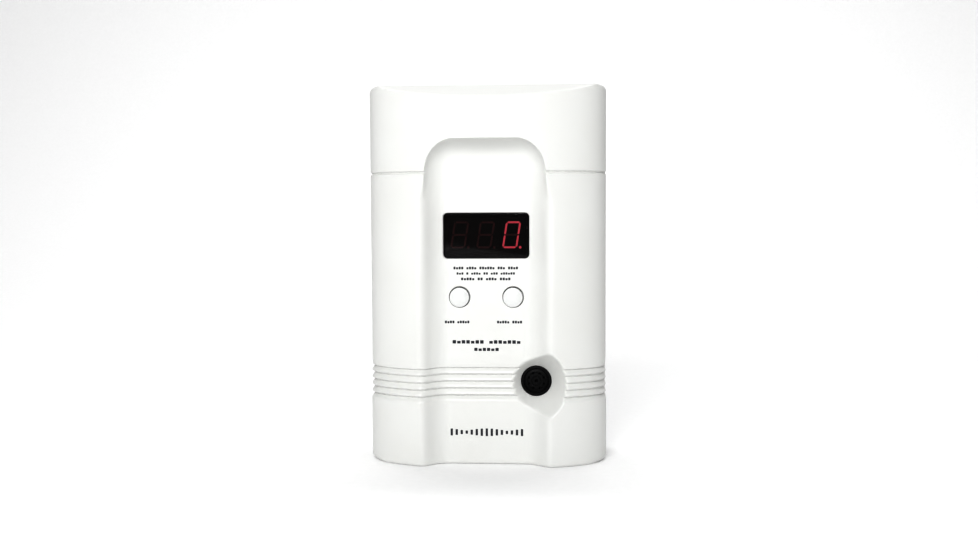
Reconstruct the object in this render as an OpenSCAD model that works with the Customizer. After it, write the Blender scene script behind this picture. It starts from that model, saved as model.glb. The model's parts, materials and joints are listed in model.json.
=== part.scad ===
// Carbon monoxide detector: a plug-in wall unit that also stands on a shelf.
// +Z is up, the front faces -Y, X = 0 is the middle and Z = 0 is the base.
// Depths called "d" are measured forward from the flat back of the case.

/* [Case] */
// Width of the case
body_w = 92; // [76:1:112]
// Height of the case
body_h = 146; // [144:1:176]
// How far the front bows out beyond the flat sides
bow_d = 20; // [18.5:0.5:24]
// Wall of both covers
wall = 2.2; // [1.8:0.1:2.7]
// Depth of the rear cover, back face to seam
rear_d = 16; // [13:0.5:18]
// Rounding of the case corners seen from the front
corner_r = 2; // [1:0.5:4]
// Drop of the sloping top at the front
top_drop = 5.5; // [3:0.5:8]
// Depth of the sloping top, front to back
top_slope_d = 12.6; // [8:0.2:16]

/* [Front panel] */
// Width of the recessed panel
panel_w = 46; // [44:1:56]
// How far the panel floor stands out in front of the flat sides
panel_out = 10.3; // [9.5:0.1:12]
// Distance of the arch top below the top of the case
arch_below_top = 21; // [18:0.5:26]
// Radius of the arch corners
arch_r = 12; // [8:0.5:16]
// Radius of the cove round the panel
cove_r = 5; // [3:0.5:6]
// Distance of the window centre below the top of the case
window_below_top = 57.7; // [54:0.1:62]
// Width of the display window
window_w = 33; // [31:0.5:38]
// Height of the display window
window_h = 17.5; // [16:0.5:20]
// Distance of the buttons below the window centre
button_drop = 23.6; // [21:0.1:26]
// Distance of each button from the middle
button_x = 10.3; // [8:0.1:12]
// Radius of a button
button_r = 3.8; // [3:0.1:4.6]
// Travel of a button
button_travel = 0.5; // [0.3:0.05:0.6]

/* [Grooves and horn] */
// Height of the topmost rib groove
rib_top_z = 37.8; // [36:0.1:46]
// Spacing of the rib grooves
rib_pitch = 2.7; // [2.2:0.1:3.2]
// Number of rib grooves
rib_count = 5; // [1:1:7]
// Distance of the cap line below the top of the case
cap_below_top = 33.7; // [28:0.1:40]
// Depth of a groove
groove_d = 0.9; // [0.4:0.1:1.1]
// Sideways place of the horn
horn_x = 19; // [15:0.5:21]
// Height of the horn
horn_z = 31.6; // [28:0.1:33]
// Radius of the horn hole
horn_hole_r = 6; // [4.5:0.1:7.2]
// Radius of the horn housing
horn_r = 15; // [13:0.5:16]

/* [Supply] */
// Width of the plug-in adapter block
adapter_w = 46; // [42:1:55]
// Height of the plug-in adapter block
adapter_h = 40; // [37:1:44]
// Depth of the plug-in adapter block, which sets the depth of the case
adapter_d = 26; // [24:0.5:32]
// Gap round the adapter in its dock
dock_gap = 0.6; // [0.4:0.1:1]
// Length of the mains blades outside the adapter
blade_out = 17; // [15.9:0.1:18.3]
// Height of the cord well under the adapter
well_h = 15; // [12:0.5:16]
// Depth of the cord well
well_d = 17; // [12:0.5:17]
// Length of the battery
battery_l = 48.5; // [44:0.5:50]
// Width of the battery
battery_w = 26.5; // [24:0.5:27.5]
// Thickness of the battery
battery_t = 17.5; // [14.5:0.5:17.5]

/* [Wall mount] */
// Radius of the round entry of each keyhole
keyhole_r = 4.2; // [3.5:0.1:4.4]
// Width of the narrow slot of each keyhole
keyhole_slot_w = 4; // [3:0.1:4.2]

/* [Hidden] */
$fn = 48;
eps = 0.01;

// Fits
run_gap = 0.3;
seat_gap = 0.15;
pin_gap = 0.05;

// Depths from the back
front_room = 2.3;
dock_d = adapter_d + dock_gap;
side_d = dock_d + wall + front_room + wall - panel_out;
body_d = side_d + bow_d;
back_y = (body_d - blade_out) / 2;
floor_d = side_d + panel_out;
floor_in_d = floor_d - wall;
lens_sink = 0.2;
lens_lip = 1.75;
lens_flange_t = 1;
lens_back_d = floor_in_d - lens_flange_t;
lens_skin_t = 1.8;
display_front_d = floor_d - lens_sink - lens_skin_t - 0.4;
display_t = 6.6;
board_t = 1.6;
board_front_d = display_front_d - display_t;
board_back_d = board_front_d - board_t;

// Heights
window_z = body_h - window_below_top;
button_z = window_z - button_drop;
arch_z = body_h - arch_below_top;
cap_z = body_h - cap_below_top;
groove_h = 1.3;
panel_toe = 0.9;
dock_top_z = body_h - wall - 1 - wall;
adapter_top_z = dock_top_z - dock_gap;
adapter_z0 = adapter_top_z - adapter_h;
adapter_mid_z = adapter_z0 + adapter_h / 2;
dock_z0 = adapter_z0 - dock_gap;
well_z0 = dock_z0 - well_h;
dock_half = adapter_w / 2 + dock_gap;
side_in = body_w / 2 - wall;

// Main board
board_w = 60;
board_dock_gap = 1.2;
board_top_z = dock_z0 - wall - board_dock_gap;
board_screw_x = board_w / 2 - 3;
board_screw_in = 4;
board_boss_r = 3;

// Case screws
screw_in = 6;
boss_r = 4.2;
screw_r = 1.45;
head_r = 2.7;
head_t = 2;
screw_seat_d = rear_d - 5;
screw_x = body_w / 2 - screw_in;

// Digits
digit_h = 10.2;
digit_w = 5.2;
digit_pitch = 10;
digit_slant = 9;
segment_t = 1.1;
segment_gap = 0.22;
segment_d = 1;

// Battery bay
door_t = 1.8;
knuckle_r = 2.2;
stub_r = 1.2;
bay_wall = 1.5;
bay_floor_t = 1.2;
bay_gap = 1.2;
bay_half = battery_w / 2 + bay_gap;
battery_x = (horn_x - horn_r - screw_x + boss_r) / 2;
bay_x0 = battery_x - bay_half;
bay_x1 = battery_x + bay_half;
bay_z0 = wall + 5.4;
snap_room = 6.5;
bay_z1 = bay_z0 + bay_gap + battery_l + snap_room;
battery_z0 = bay_z0 + bay_gap;
battery_d0 = door_t + run_gap;
bay_d1 = battery_d0 + battery_t + run_gap;
battery_mid_d = battery_d0 + battery_t / 2;
terminal_h = 2.4;
terminal_x = 6.35;
terminal_rs = [2.9, 4.2];
battery_top_z = battery_z0 + battery_l - terminal_h;
knuckle_z = bay_z1 - run_gap - knuckle_r;
lead_slot_z = battery_top_z + 2.4;
lead_climb = 3;
lead_pad_rise = 12.3;
board_z0 = lead_slot_z + lead_climb - lead_pad_rise;
lead_slot_d = 14;
lead_spacing = 2.2;

// Horn
dish_out = 5.7;
dish_flare = 0.66;
dish_d = side_d + dish_out;
horn_face_d = dish_d - 0.3;
horn_seat_d = dish_d - wall - 0.2;
horn_back_t = 1.6;
horn_back_d = horn_seat_d - 10.5;
horn_wall = 1.5;
piezo_r = 13;
piezo_t = 0.6;
piezo_d = horn_back_d + horn_back_t + 2.4;

// Gas sensor
sensor_r = 10.1;
sensor_h = 16.5;
sensor_x = 18;
sensor_z = button_z + 1.4;
sensor_lift = 0.8;

// Rating label
label_x0 = bay_x1 + bay_wall + 1.5;
label_x1 = label_x0 + 28;
label_z0 = 12;
label_z1 = 46;
label_t = 0.2;

// Low-voltage inlet
inlet_x = 14;
inlet_w = 8;
inlet_h = 6;
inlet_z = (well_z0 + dock_z0) / 2 - 1.5;

// Keyholes
keyhole_x = (dock_half + wall + side_in) / 2;
keyhole_z = adapter_mid_z + 3;
keyhole_rise = 7;

// Place on the Y axis of a depth measured forward from the back
function yd(d) = back_y - d;
// Outline of the case seen from above, drawn in by an inset, from a depth forward
function plan(inset, from_d, n = 40) = concat(
  [[-body_w / 2 + inset, yd(from_d)], [body_w / 2 - inset, yd(from_d)]],
  [for (i = [0 : n]) [(body_w / 2 - inset) * cos(180 * i / n),
    yd(side_d) - (bow_d - inset) * sin(180 * i / n)]]);
// Points of an arc about a centre
function arc(c, r, a0, a1, n = 8) =
  [for (i = [0 : n]) c + r * [cos(a0 + (a1 - a0) * i / n), sin(a0 + (a1 - a0) * i / n)]];
// Rounded rectangle between two corners
function round_box(x0, z0, x1, z1, r) = concat(
  arc([x1 - r, z0 + r], r, -90, 0), arc([x1 - r, z1 - r], r, 0, 90),
  arc([x0 + r, z1 - r], r, 90, 180), arc([x0 + r, z0 + r], r, 180, 270));
// Arched outline of the panel, grown outward by an amount
function arch_points(grow) = concat(
  [[-panel_w / 2 - grow, -1], [panel_w / 2 + grow, -1]],
  arc([panel_w / 2 - arch_r, arch_z - arch_r], arch_r + grow, 0, 90, 10),
  arc([-panel_w / 2 + arch_r, arch_z - arch_r], arch_r + grow, 90, 180, 10));
// Route points joined by a smooth curve
function curve_point(a, b, c, d, t) = 0.5 * (2 * b + (c - a) * t
  + (2 * a - 5 * b + 4 * c - d) * t * t + (3 * b - a - 3 * c + d) * t * t * t);
function smooth_route(p, steps = 4) = concat(
  [for (i = [0 : len(p) - 2]) for (j = [0 : steps - 1])
    curve_point(p[max(i - 1, 0)], p[i], p[i + 1], p[min(i + 2, len(p) - 1)], j / steps)],
  [p[len(p) - 1]]);
function unit(v) = v / norm(v);
function heading(p, i) = unit(p[min(i + 1, len(p) - 1)] - p[max(i - 1, 0)]);

// Box between two sideways places, two depths and two heights
module slab(x0, x1, d0, d1, z0, z1) {
  translate([x0, yd(d1), z0]) cube([x1 - x0, d1 - d0, z1 - z0]);
}
// Round bar along the depth
module rod(x, z, r, d0, d1) {
  translate([x, yd(d0), z]) rotate([90, 0, 0]) cylinder(r = r, h = d1 - d0);
}
// Flat outline in X and Z given a depth range
module plate(points, d0, d1) {
  translate([0, yd(d0), 0]) rotate([90, 0, 0]) linear_extrude(d1 - d0) polygon(points);
}
// Side outline in depth and Z, run across a width
module side_plate(points, x0, x1) {
  translate([x0, 0, 0]) rotate([90, 0, 90]) linear_extrude(x1 - x0)
    polygon([for (p = points) [yd(p[0]), p[1]]]);
}
// Round wire along a route of points given as sideways place, depth and height
module wire(route, r, sides = 8) {
  p = smooth_route([for (q = route) [q[0], yd(q[1]), q[2]]]);
  n = len(p);
  points = [for (i = [0 : n - 1]) let (t = heading(p, i), u = unit(cross(t, [1, 0.3, 0.2])),
    v = cross(t, u)) for (k = [0 : sides - 1])
    p[i] + r * (cos(360 * k / sides) * u + sin(360 * k / sides) * v)];
  walls = [for (i = [0 : n - 2]) for (k = [0 : sides - 1]) let (m = (k + 1) % sides)
    [i * sides + k, (i + 1) * sides + k, (i + 1) * sides + m, i * sides + m]];
  first = [[for (k = [0 : sides - 1]) k]];
  last = [[for (k = [sides - 1 : -1 : 0]) (n - 1) * sides + k]];
  polyhedron(points, concat(walls, first, last));
}
// Solid of the bowed case from a depth forward, drawn in by an inset
module case_solid(inset, from_d) {
  front_d = body_d + 1;
  slope_d = body_d - top_slope_d;
  top_z = body_h - inset;
  drop = top_drop * (front_d - slope_d) / top_slope_d;
  intersection() {
    translate([0, 0, inset]) linear_extrude(body_h - 2 * inset) polygon(plan(inset, from_d));
    side_plate([[from_d, inset - 1], [front_d, inset - 1], [front_d, top_z - drop],
      [slope_d, top_z], [slope_d, top_z + 1], [from_d, top_z + 1]], -body_w, body_w);
    plate(round_box(-body_w / 2 + inset, inset, body_w / 2 - inset, body_h - inset,
      max(corner_r - inset, 0.3)), from_d, front_d);
  }
}
// Recess of the panel: arched seen from the front, coved at the sides and under the arch
module panel_cut() {
  front_d = body_d + 2;
  sides = arc([-panel_w / 2 + cove_r, -floor_d - cove_r], cove_r, 180, 90, 5);
  mirrored = [for (i = [len(sides) - 1 : -1 : 0]) [-sides[i][0], sides[i][1]]];
  crown_r = body_d - floor_d;
  crown = arc([floor_d + crown_r, arch_z - crown_r], crown_r, 180, 90, 7);
  toe_z = rib_top_z - rib_pitch * rib_count;
  intersection() {
    plate(arch_points(0), floor_d - 1, front_d);
    translate([0, back_y, -2]) linear_extrude(body_h) polygon(concat(
      [[-panel_w / 2, -front_d]], sides, mirrored, [[panel_w / 2, -front_d]]));
    side_plate(concat([[front_d, -2], [floor_d + panel_toe, -2], [floor_d, toe_z]],
      crown, [[front_d, arch_z]]), -panel_w, panel_w);
  }
}
// One groove round the bowed front and the flat sides
module groove_ring(z, depth) {
  translate([0, 0, z - groove_h / 2]) linear_extrude(groove_h) difference() {
    polygon(plan(-3, rear_d - 3));
    polygon(plan(depth, rear_d - 4));
  }
}
module grooves() {
  groove_ring(cap_z, groove_d);
  for (i = [0 : rib_count - 1]) {
    groove_ring(rib_top_z - i * rib_pitch, groove_d);
    slab(-panel_w / 2, panel_w / 2, floor_d - groove_d, floor_d + cove_r,
      rib_top_z - i * rib_pitch - groove_h / 2, rib_top_z - i * rib_pitch + groove_h / 2);
  }
}
// Funnel of the horn, grown outward by an amount
module dish(grow, d0) {
  span = body_d + 1 - d0;
  base_r = horn_hole_r + dish_flare * (d0 - dish_d) + grow;
  translate([horn_x, yd(d0), horn_z]) rotate([90, 0, 0])
    cylinder(r1 = base_r, r2 = base_r + dish_flare * span, h = span);
}
module window_outline(grow, d0, d1, r) {
  plate(round_box(-window_w / 2 - grow, window_z - window_h / 2 - grow,
    window_w / 2 + grow, window_z + window_h / 2 + grow, r), d0, d1);
}
module at_case_screws() {
  for (sx = [-1, 1]) for (z = [screw_in, body_h - screw_in]) translate([sx * screw_x, 0, z])
    children();
}
module at_board_screws() {
  for (sx = [-1, 1]) for (z = [board_z0 + board_screw_in, board_top_z - board_screw_in])
    translate([sx * board_screw_x, 0, z]) children();
}

// Deep front shell with the bowed wings, the arched panel, the grooves and the horn funnel
module front_cover() color("whitesmoke") {
  rabbet = 1.6;
  difference() {
    union() {
      difference() {
        case_solid(0, rear_d);
        case_solid(wall, rear_d - 1);
      }
      intersection() {
        case_solid(0, rear_d);
        union() {
          plate(arch_points(wall), floor_in_d, body_d + 1);
          dish(wall, dish_d - wall);
        }
      }
      intersection() {
        case_solid(wall / 2, rear_d - eps);
        union() {
          at_case_screws() rod(0, 0, boss_r, rear_d, body_d);
          at_board_screws() rod(0, 0, board_boss_r, board_front_d, body_d);
        }
      }
    }
    panel_cut();
    dish(0, dish_d);
    rod(horn_x, horn_z, horn_hole_r, dish_d - wall - 1, dish_d + 1);
    grooves();
    window_outline(0, floor_in_d - 1, floor_d + 1, 1.7);
    for (sx = [-1, 1]) rod(sx * button_x, button_z, button_r + run_gap, floor_in_d - 1, floor_d + 1);
    at_case_screws() rod(0, 0, screw_r + pin_gap, rear_d - 1, rear_d + 11);
    at_board_screws() rod(0, 0, 1, board_front_d - 1, board_front_d + 5);
    plate(round_box(-body_w / 2 + wall / 2, wall / 2, body_w / 2 - wall / 2, body_h - wall / 2,
      corner_r / 2), rear_d - 1, rear_d + rabbet);
  }
}

// Rear shell with the adapter dock, the cord well, the battery bay, keyholes and vents
module rear_cover() color("gainsboro") {
  tongue = 1.5;
  tongue_in = wall / 2 + seat_gap;
  vent_w = 20;
  vent_h = 2;
  label_sink = 0.25;
  difference() {
    union() {
      difference() {
        plate(round_box(-body_w / 2, 0, body_w / 2, body_h, corner_r), 0, rear_d);
        plate(round_box(-side_in, wall, side_in, body_h - wall, corner_r / 2), wall, rear_d + 1);
      }
      difference() {
        plate(round_box(-body_w / 2 + tongue_in, tongue_in, body_w / 2 - tongue_in,
          body_h - tongue_in, corner_r / 2), rear_d - 1, rear_d + tongue);
        plate(round_box(-side_in, wall, side_in, body_h - wall, corner_r / 2),
          rear_d - 2, rear_d + tongue + 1);
        at_case_screws() rod(0, 0, boss_r + seat_gap, rear_d, rear_d + tongue + 1);
      }
      at_case_screws() rod(0, 0, boss_r, 0, rear_d);
      slab(-dock_half - wall, dock_half + wall, 0, dock_d + wall, dock_z0 - wall, dock_top_z + wall);
      slab(-dock_half - wall, dock_half + wall, 0, well_d + wall, well_z0 - wall, dock_z0);
      slab(bay_x0 - bay_wall, bay_x1 + bay_wall, 0, bay_d1 + bay_floor_t,
        bay_z0 - bay_wall, bay_z1 + bay_wall);
    }
    slab(-dock_half, dock_half, -1, dock_d, dock_z0, dock_top_z);
    slab(-dock_half, dock_half, -1, well_d, well_z0, dock_z0 + eps);
    slab(bay_x0, bay_x1, -1, bay_d1, bay_z0, bay_z1);
    // hinge holes of the battery door
    translate([bay_x0 - bay_wall - 1, yd(knuckle_r), knuckle_z]) rotate([0, 90, 0])
      cylinder(r = stub_r + pin_gap, h = bay_x1 - bay_x0 + 2 * bay_wall + 2);
    // way out of the battery bay for the leads
    slab(bay_x1 - 1, bay_x1 + bay_wall + 1, lead_slot_d - 1.5, lead_slot_d + 1.5,
      lead_slot_z - lead_spacing / 2 - 1.2, lead_slot_z + lead_spacing / 2 + 1.2);
    // way through the well floor for the inlet
    slab(inlet_x - inlet_w / 2 - run_gap, inlet_x + inlet_w / 2 + run_gap, well_d - 1,
      well_d + wall + 1, inlet_z - inlet_h / 2 - run_gap, inlet_z + inlet_h / 2 + run_gap);
    at_case_screws() {
      rod(0, 0, head_r + run_gap, -1, screw_seat_d);
      rod(0, 0, screw_r + seat_gap, screw_seat_d - 1, rear_d + 1);
    }
    for (sx = [-1, 1]) {
      rod(sx * keyhole_x, keyhole_z, keyhole_r, -1, wall + 1);
      slab(sx * keyhole_x - keyhole_slot_w / 2, sx * keyhole_x + keyhole_slot_w / 2, -1, wall + 1,
        keyhole_z, keyhole_z + keyhole_rise);
      rod(sx * keyhole_x, keyhole_z + keyhole_rise, keyhole_slot_w / 2, -1, wall + 1);
    }
    for (i = [-2 : 2])
      slab(sensor_x - vent_w / 2, sensor_x + vent_w / 2, -1, wall + 1,
        sensor_z + 4 * i - vent_h / 2, sensor_z + 4 * i + vent_h / 2);
    slab(label_x0 - seat_gap, label_x1 + seat_gap, -1, label_sink, label_z0 - seat_gap,
      label_z1 + seat_gap);
  }
}

// Smoked lens with a flange behind the panel
module display_window() color([0.12, 0.02, 0.02]) {
  difference() {
    union() {
      window_outline(-seat_gap, floor_in_d - eps, floor_d - lens_sink, 1.55);
      window_outline(lens_lip, lens_back_d, floor_in_d, 1.7);
    }
    slab(-window_w / 2 + 1, window_w / 2 - 1, lens_back_d - 1, floor_d - lens_sink - lens_skin_t,
      window_z - window_h / 2 + 1, window_z + window_h / 2 - 1);
  }
}

// Outline of one straight segment with pointed ends
function bar_points(l, t) = [[-l / 2, 0], [-l / 2 + t / 2, t / 2], [l / 2 - t / 2, t / 2],
  [l / 2, 0], [l / 2 - t / 2, -t / 2], [-l / 2 + t / 2, -t / 2]];
function turned(p, on) = on ? [p[1], p[0]] : p;
function slanted(p, x) = [x + p[0] + p[1] * tan(digit_slant), window_z + p[1]];
// Outlines of the seven segments and the point, with a shrink for a fit
function digit_outlines(x, shrink) = let (
  across = digit_w - segment_t, up = (digit_h - segment_t) / 2, t = segment_t - 2 * shrink,
  places = [[0, up, false, across], [0, 0, false, across], [0, -up, false, across],
    [-across / 2, up / 2, true, up], [across / 2, up / 2, true, up],
    [-across / 2, -up / 2, true, up], [across / 2, -up / 2, true, up]]) concat(
  [for (s = places) [for (p = bar_points(s[3] - segment_gap - 2 * shrink, t))
    slanted(turned(p, s[2]) + [s[0], s[1]], x)]],
  [arc(slanted([digit_w / 2 + 1.1, -up], x), segment_t / 2 - shrink, 0, 330, 11)]);
module digit(place) {
  for (outline = digit_outlines(digit_pitch * place, pin_gap))
    plate(outline, display_front_d - segment_d + pin_gap, display_front_d);
}
module digit_hundreds() color([0.3, 0.03, 0.03]) digit(-1);
module digit_tens() color([0.3, 0.03, 0.03]) digit(0);
module digit_units() color([1, 0.25, 0.2]) digit(1);

// Three-digit display block with a pocket for each segment
module led_display() color([0.06, 0.06, 0.06]) {
  display_w = 30.2;
  display_h = 14;
  difference() {
    slab(-display_w / 2, display_w / 2, board_front_d, display_front_d, window_z - display_h / 2,
      window_z + display_h / 2);
    for (place = [-1 : 1]) for (outline = digit_outlines(digit_pitch * place, 0))
      plate(outline, display_front_d - segment_d, display_front_d + 1);
  }
}

// Push button: a domed cap with a flange behind the panel, resting on the switch plunger
flange_t = 1;
flange_d1 = floor_in_d - run_gap;
flange_d0 = flange_d1 - flange_t;
button_out = 0.9;
module button(x) {
  dome_r = 10;
  dome_d = floor_d + button_out - dome_r;
  dome = [for (i = [0 : 8]) let (r = button_r * (1 - i / 8)) [r, dome_d + sqrt(dome_r * dome_r - r * r)]];
  flange_r = button_r + 1.2;
  translate([x, yd(0), button_z]) rotate([90, 0, 0]) rotate_extrude() polygon(concat(
    [[0, flange_d0], [flange_r, flange_d0], [flange_r, flange_d1], [button_r, flange_d1]], dome));
}
module test_button() color("whitesmoke") button(-button_x);
module peak_button() color("whitesmoke") button(button_x);

// Tactile switch under each button, and the plunger that moves in it
switch_w = 6;
switch_t = 3.4;
plunger_r = 1.75;
module switch_body(x) {
  difference() {
    slab(x - switch_w / 2, x + switch_w / 2, board_front_d, board_front_d + switch_t,
      button_z - switch_w / 2, button_z + switch_w / 2);
    rod(x, button_z, plunger_r + 0.1, board_front_d + 1, board_front_d + switch_t + 1);
  }
}
module plunger(x) rod(x, button_z, plunger_r, board_front_d + 1.4 + button_travel, flange_d0);
module test_switch() color([0.15, 0.15, 0.15]) switch_body(-button_x);
module peak_switch() color([0.15, 0.15, 0.15]) switch_body(button_x);
module test_plunger() color([0.5, 0.1, 0.1]) plunger(-button_x);
module peak_plunger() color([0.5, 0.1, 0.1]) plunger(button_x);

// Circuit board behind the panel
module main_board() color("darkgreen") {
  difference() {
    slab(-board_w / 2, board_w / 2, board_back_d, board_front_d, board_z0, board_top_z);
    at_board_screws() rod(0, 0, 1.25, board_back_d - 1, board_front_d + 1);
  }
}

// Narrow many-legged chip on the front of the board
module microcontroller() color([0.1, 0.1, 0.1]) {
  chip_l = 34;
  chip_w = 7;
  chip_z = board_z0 + 6;
  slab(-chip_l / 2, chip_l / 2, board_front_d + 0.4, board_front_d + 3.8, chip_z - chip_w / 2,
    chip_z + chip_w / 2);
  for (i = [0 : 12]) slab(-15.6 + 2.54 * i, -14.9 + 2.54 * i, board_front_d, board_front_d + 2,
    chip_z - chip_w / 2 - 0.8, chip_z + chip_w / 2 + 0.8);
}

// Row of axial resistors between the display and the buttons
module resistors() color("tan") {
  for (i = [-2.5 : 2.5]) translate([5 * i, yd(board_front_d + 1.1), button_z + 6.9])
    cylinder(r = 1.1, h = 6.3);
}

// Two upright supply capacitors on the back of the board
parts_z = (bay_z1 + bay_wall + well_z0 - wall) / 2;
module capacitors() color([0.1, 0.12, 0.25]) {
  for (x = [-20, -9]) rod(x, parts_z, 4, board_back_d - 12, board_back_d);
}

// Three-legged regulator standing on the back of the board
module voltage_regulator() color([0.12, 0.12, 0.12]) {
  slab(-3.5, 6.5, board_back_d - 13, board_back_d - 3, parts_z - 2.2, parts_z + 2.2);
  for (x = [-1.04, 1.5, 4.04]) slab(x - 0.4, x + 0.4, board_back_d - 3.5, board_back_d,
    parts_z - 0.3, parts_z + 0.3);
}

// Step-up coil that drives the horn
module horn_coil() color([0.15, 0.13, 0.12]) {
  coil_r = 3.4;
  coil_x = bay_x1 + bay_wall + coil_r + 0.4;
  coil_z = board_z0 + coil_r + 0.4;
  rod(coil_x, coil_z, coil_r, board_back_d - 9, board_back_d - 7.8);
  rod(coil_x, coil_z, coil_r - 0.8, board_back_d - 7.8, board_back_d - 1.2);
  rod(coil_x, coil_z, coil_r, board_back_d - 1.2, board_back_d);
}

// Round electrochemical gas sensor, its inlet facing the rear vents
module co_sensor() color("silver") {
  top_d = board_back_d - sensor_lift - sensor_h;
  difference() {
    rod(sensor_x, sensor_z, sensor_r, top_d, board_back_d - sensor_lift);
    rod(sensor_x, sensor_z, 4, top_d - 1, top_d + 1);
  }
}
module sensor_pins() color("gold") {
  for (a = [90, 210, 330])
    rod(sensor_x + 6.75 * cos(a), sensor_z + 6.75 * sin(a), 0.75, board_back_d - sensor_lift, board_back_d);
}

// Horn: a black housing whose ringed snout fills the hole, a piezo disc and a back cap
module horn_housing() color([0.05, 0.05, 0.05]) {
  ring_d = 0.4;
  difference() {
    union() {
      rod(horn_x, horn_z, horn_r, horn_back_d + horn_back_t, horn_seat_d);
      rod(horn_x, horn_z, horn_hole_r - seat_gap, horn_seat_d - eps, horn_face_d);
    }
    rod(horn_x, horn_z, horn_r - horn_wall, horn_back_d, horn_seat_d - horn_wall);
    for (r = [2.4, 4.2]) difference() {
      rod(horn_x, horn_z, r + 0.35, horn_face_d - ring_d, horn_face_d + 1);
      rod(horn_x, horn_z, r - 0.35, horn_face_d - ring_d - 1, horn_face_d + 2);
    }
    rod(horn_x, horn_z, 1, horn_seat_d - horn_wall - 1, horn_face_d + 1);
  }
  // ledge that the disc sits against
  difference() {
    rod(horn_x, horn_z, horn_r - horn_wall + eps, piezo_d + piezo_t, piezo_d + piezo_t + 1.2);
    rod(horn_x, horn_z, piezo_r - 1, piezo_d, piezo_d + piezo_t + 2);
  }
}
module piezo_disc() color("goldenrod") {
  rod(horn_x, horn_z, piezo_r, piezo_d, piezo_d + piezo_t / 2);
  rod(horn_x, horn_z, piezo_r * 0.7, piezo_d + piezo_t / 2 - eps, piezo_d + piezo_t);
}
module horn_back() color([0.08, 0.08, 0.08]) {
  difference() {
    union() {
      rod(horn_x, horn_z, horn_r, horn_back_d, horn_back_d + horn_back_t);
      rod(horn_x, horn_z, horn_r - horn_wall - pin_gap, horn_back_d + horn_back_t - eps, piezo_d);
    }
    rod(horn_x, horn_z, piezo_r - 1, horn_back_d + horn_back_t, piezo_d + 1);
    for (sx = [-1, 1]) rod(horn_x + 2 * sx, horn_z + 6, 0.8, horn_back_d - 1, piezo_d);
  }
}
module horn_leads() {
  lead_r = 0.6;
  top_z = board_z0 + 2.6;
  for (sx = [-1, 1]) color(sx < 0 ? "black" : "firebrick") wire([
    [horn_x + 2 * sx, piezo_d, horn_z + 6], [horn_x + 2 * sx, horn_back_d - 1, horn_z + 6],
    [horn_x + 2 * sx, horn_back_d - 3, horn_z + 9], [horn_x + 2 * sx, horn_back_d, top_z - 2],
    [horn_x + 2 * sx, board_back_d - 1.5, top_z], [horn_x + 2 * sx, board_back_d, top_z]], lead_r);
}

// Nine volt block battery with its two snap terminals
module battery() color([0.2, 0.2, 0.22]) {
  plate_d0 = battery_d0;
  difference() {
    slab(battery_x - battery_w / 2, battery_x + battery_w / 2, plate_d0, plate_d0 + battery_t,
      battery_z0, battery_top_z);
    for (sx = [-1, 1]) for (d = [plate_d0, plate_d0 + battery_t])
      translate([battery_x + sx * battery_w / 2, yd(d), battery_z0 - 1])
        rotate(45) cube([1.8, 1.8, 2 * battery_l], center = true);
  }
  for (i = [0, 1]) translate([battery_x + (2 * i - 1) * terminal_x, yd(battery_mid_d), battery_top_z - eps])
    cylinder(r = terminal_rs[i], h = terminal_h);
}
// Snap connector that clips on the terminals
module battery_snap() color([0.1, 0.1, 0.1]) {
  snap_z = battery_top_z + 0.4;
  difference() {
    slab(battery_x - 12.5, battery_x + 12.5, battery_mid_d - 6, battery_mid_d + 6, snap_z, snap_z + 4);
    for (i = [0, 1]) translate([battery_x + (2 * i - 1) * terminal_x, yd(battery_mid_d), snap_z - 1])
      cylinder(r = terminal_rs[i] + seat_gap, h = 1 + terminal_h);
  }
}
module battery_leads() {
  lead_r = 0.7;
  snap_x = battery_x + 12.5;
  outside_x = bay_x1 + bay_wall;
  for (i = [0, 1]) let (z = lead_slot_z + lead_spacing * (i - 0.5)) color(i ? "firebrick" : "black") wire([
    [snap_x, lead_slot_d, z], [bay_x1 + 0.4, lead_slot_d, z], [outside_x + 1, lead_slot_d, z],
    [outside_x + 2.6, board_back_d - 4, z + lead_climb - 1],
    [outside_x + 3, board_back_d - 1.5, z + lead_climb],
    [outside_x + 3, board_back_d, z + lead_climb]], lead_r);
}

// Flap over the battery bay, hinged along its top edge
module battery_door() color("gainsboro") {
  x0 = bay_x0 + run_gap;
  x1 = bay_x1 - run_gap;
  difference() {
    union() {
      slab(x0, x1, 0, door_t, bay_z0 + run_gap, knuckle_z);
      translate([x0, yd(knuckle_r), knuckle_z]) rotate([0, 90, 0])
        cylinder(r = knuckle_r, h = x1 - x0);
      translate([bay_x0 - bay_wall + 0.2, yd(knuckle_r), knuckle_z]) rotate([0, 90, 0])
        cylinder(r = stub_r, h = bay_x1 - bay_x0 + 2 * bay_wall - 0.4);
    }
    slab(battery_x - 6, battery_x + 6, -1, 1.2, bay_z0 - 1, bay_z0 + 2.6);
  }
}

// Low-voltage inlet at the floor of the cord well
module power_inlet() color("ivory") {
  inlet_wall = 0.9;
  difference() {
    slab(inlet_x - inlet_w / 2, inlet_x + inlet_w / 2, well_d + 0.2, board_back_d,
      inlet_z - inlet_h / 2, inlet_z + inlet_h / 2);
    slab(inlet_x - inlet_w / 2 + inlet_wall, inlet_x + inlet_w / 2 - inlet_wall, well_d - 1,
      board_back_d - 1.2, inlet_z - inlet_h / 2 + inlet_wall, inlet_z + inlet_h / 2 - inlet_wall);
  }
}
module inlet_pins() color("silver") {
  for (sx = [-1.25, 1.25]) slab(inlet_x + sx - 0.32, inlet_x + sx + 0.32, well_d + 1.5,
    board_back_d - 1.2, inlet_z - 0.32, inlet_z + 0.32);
}

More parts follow.
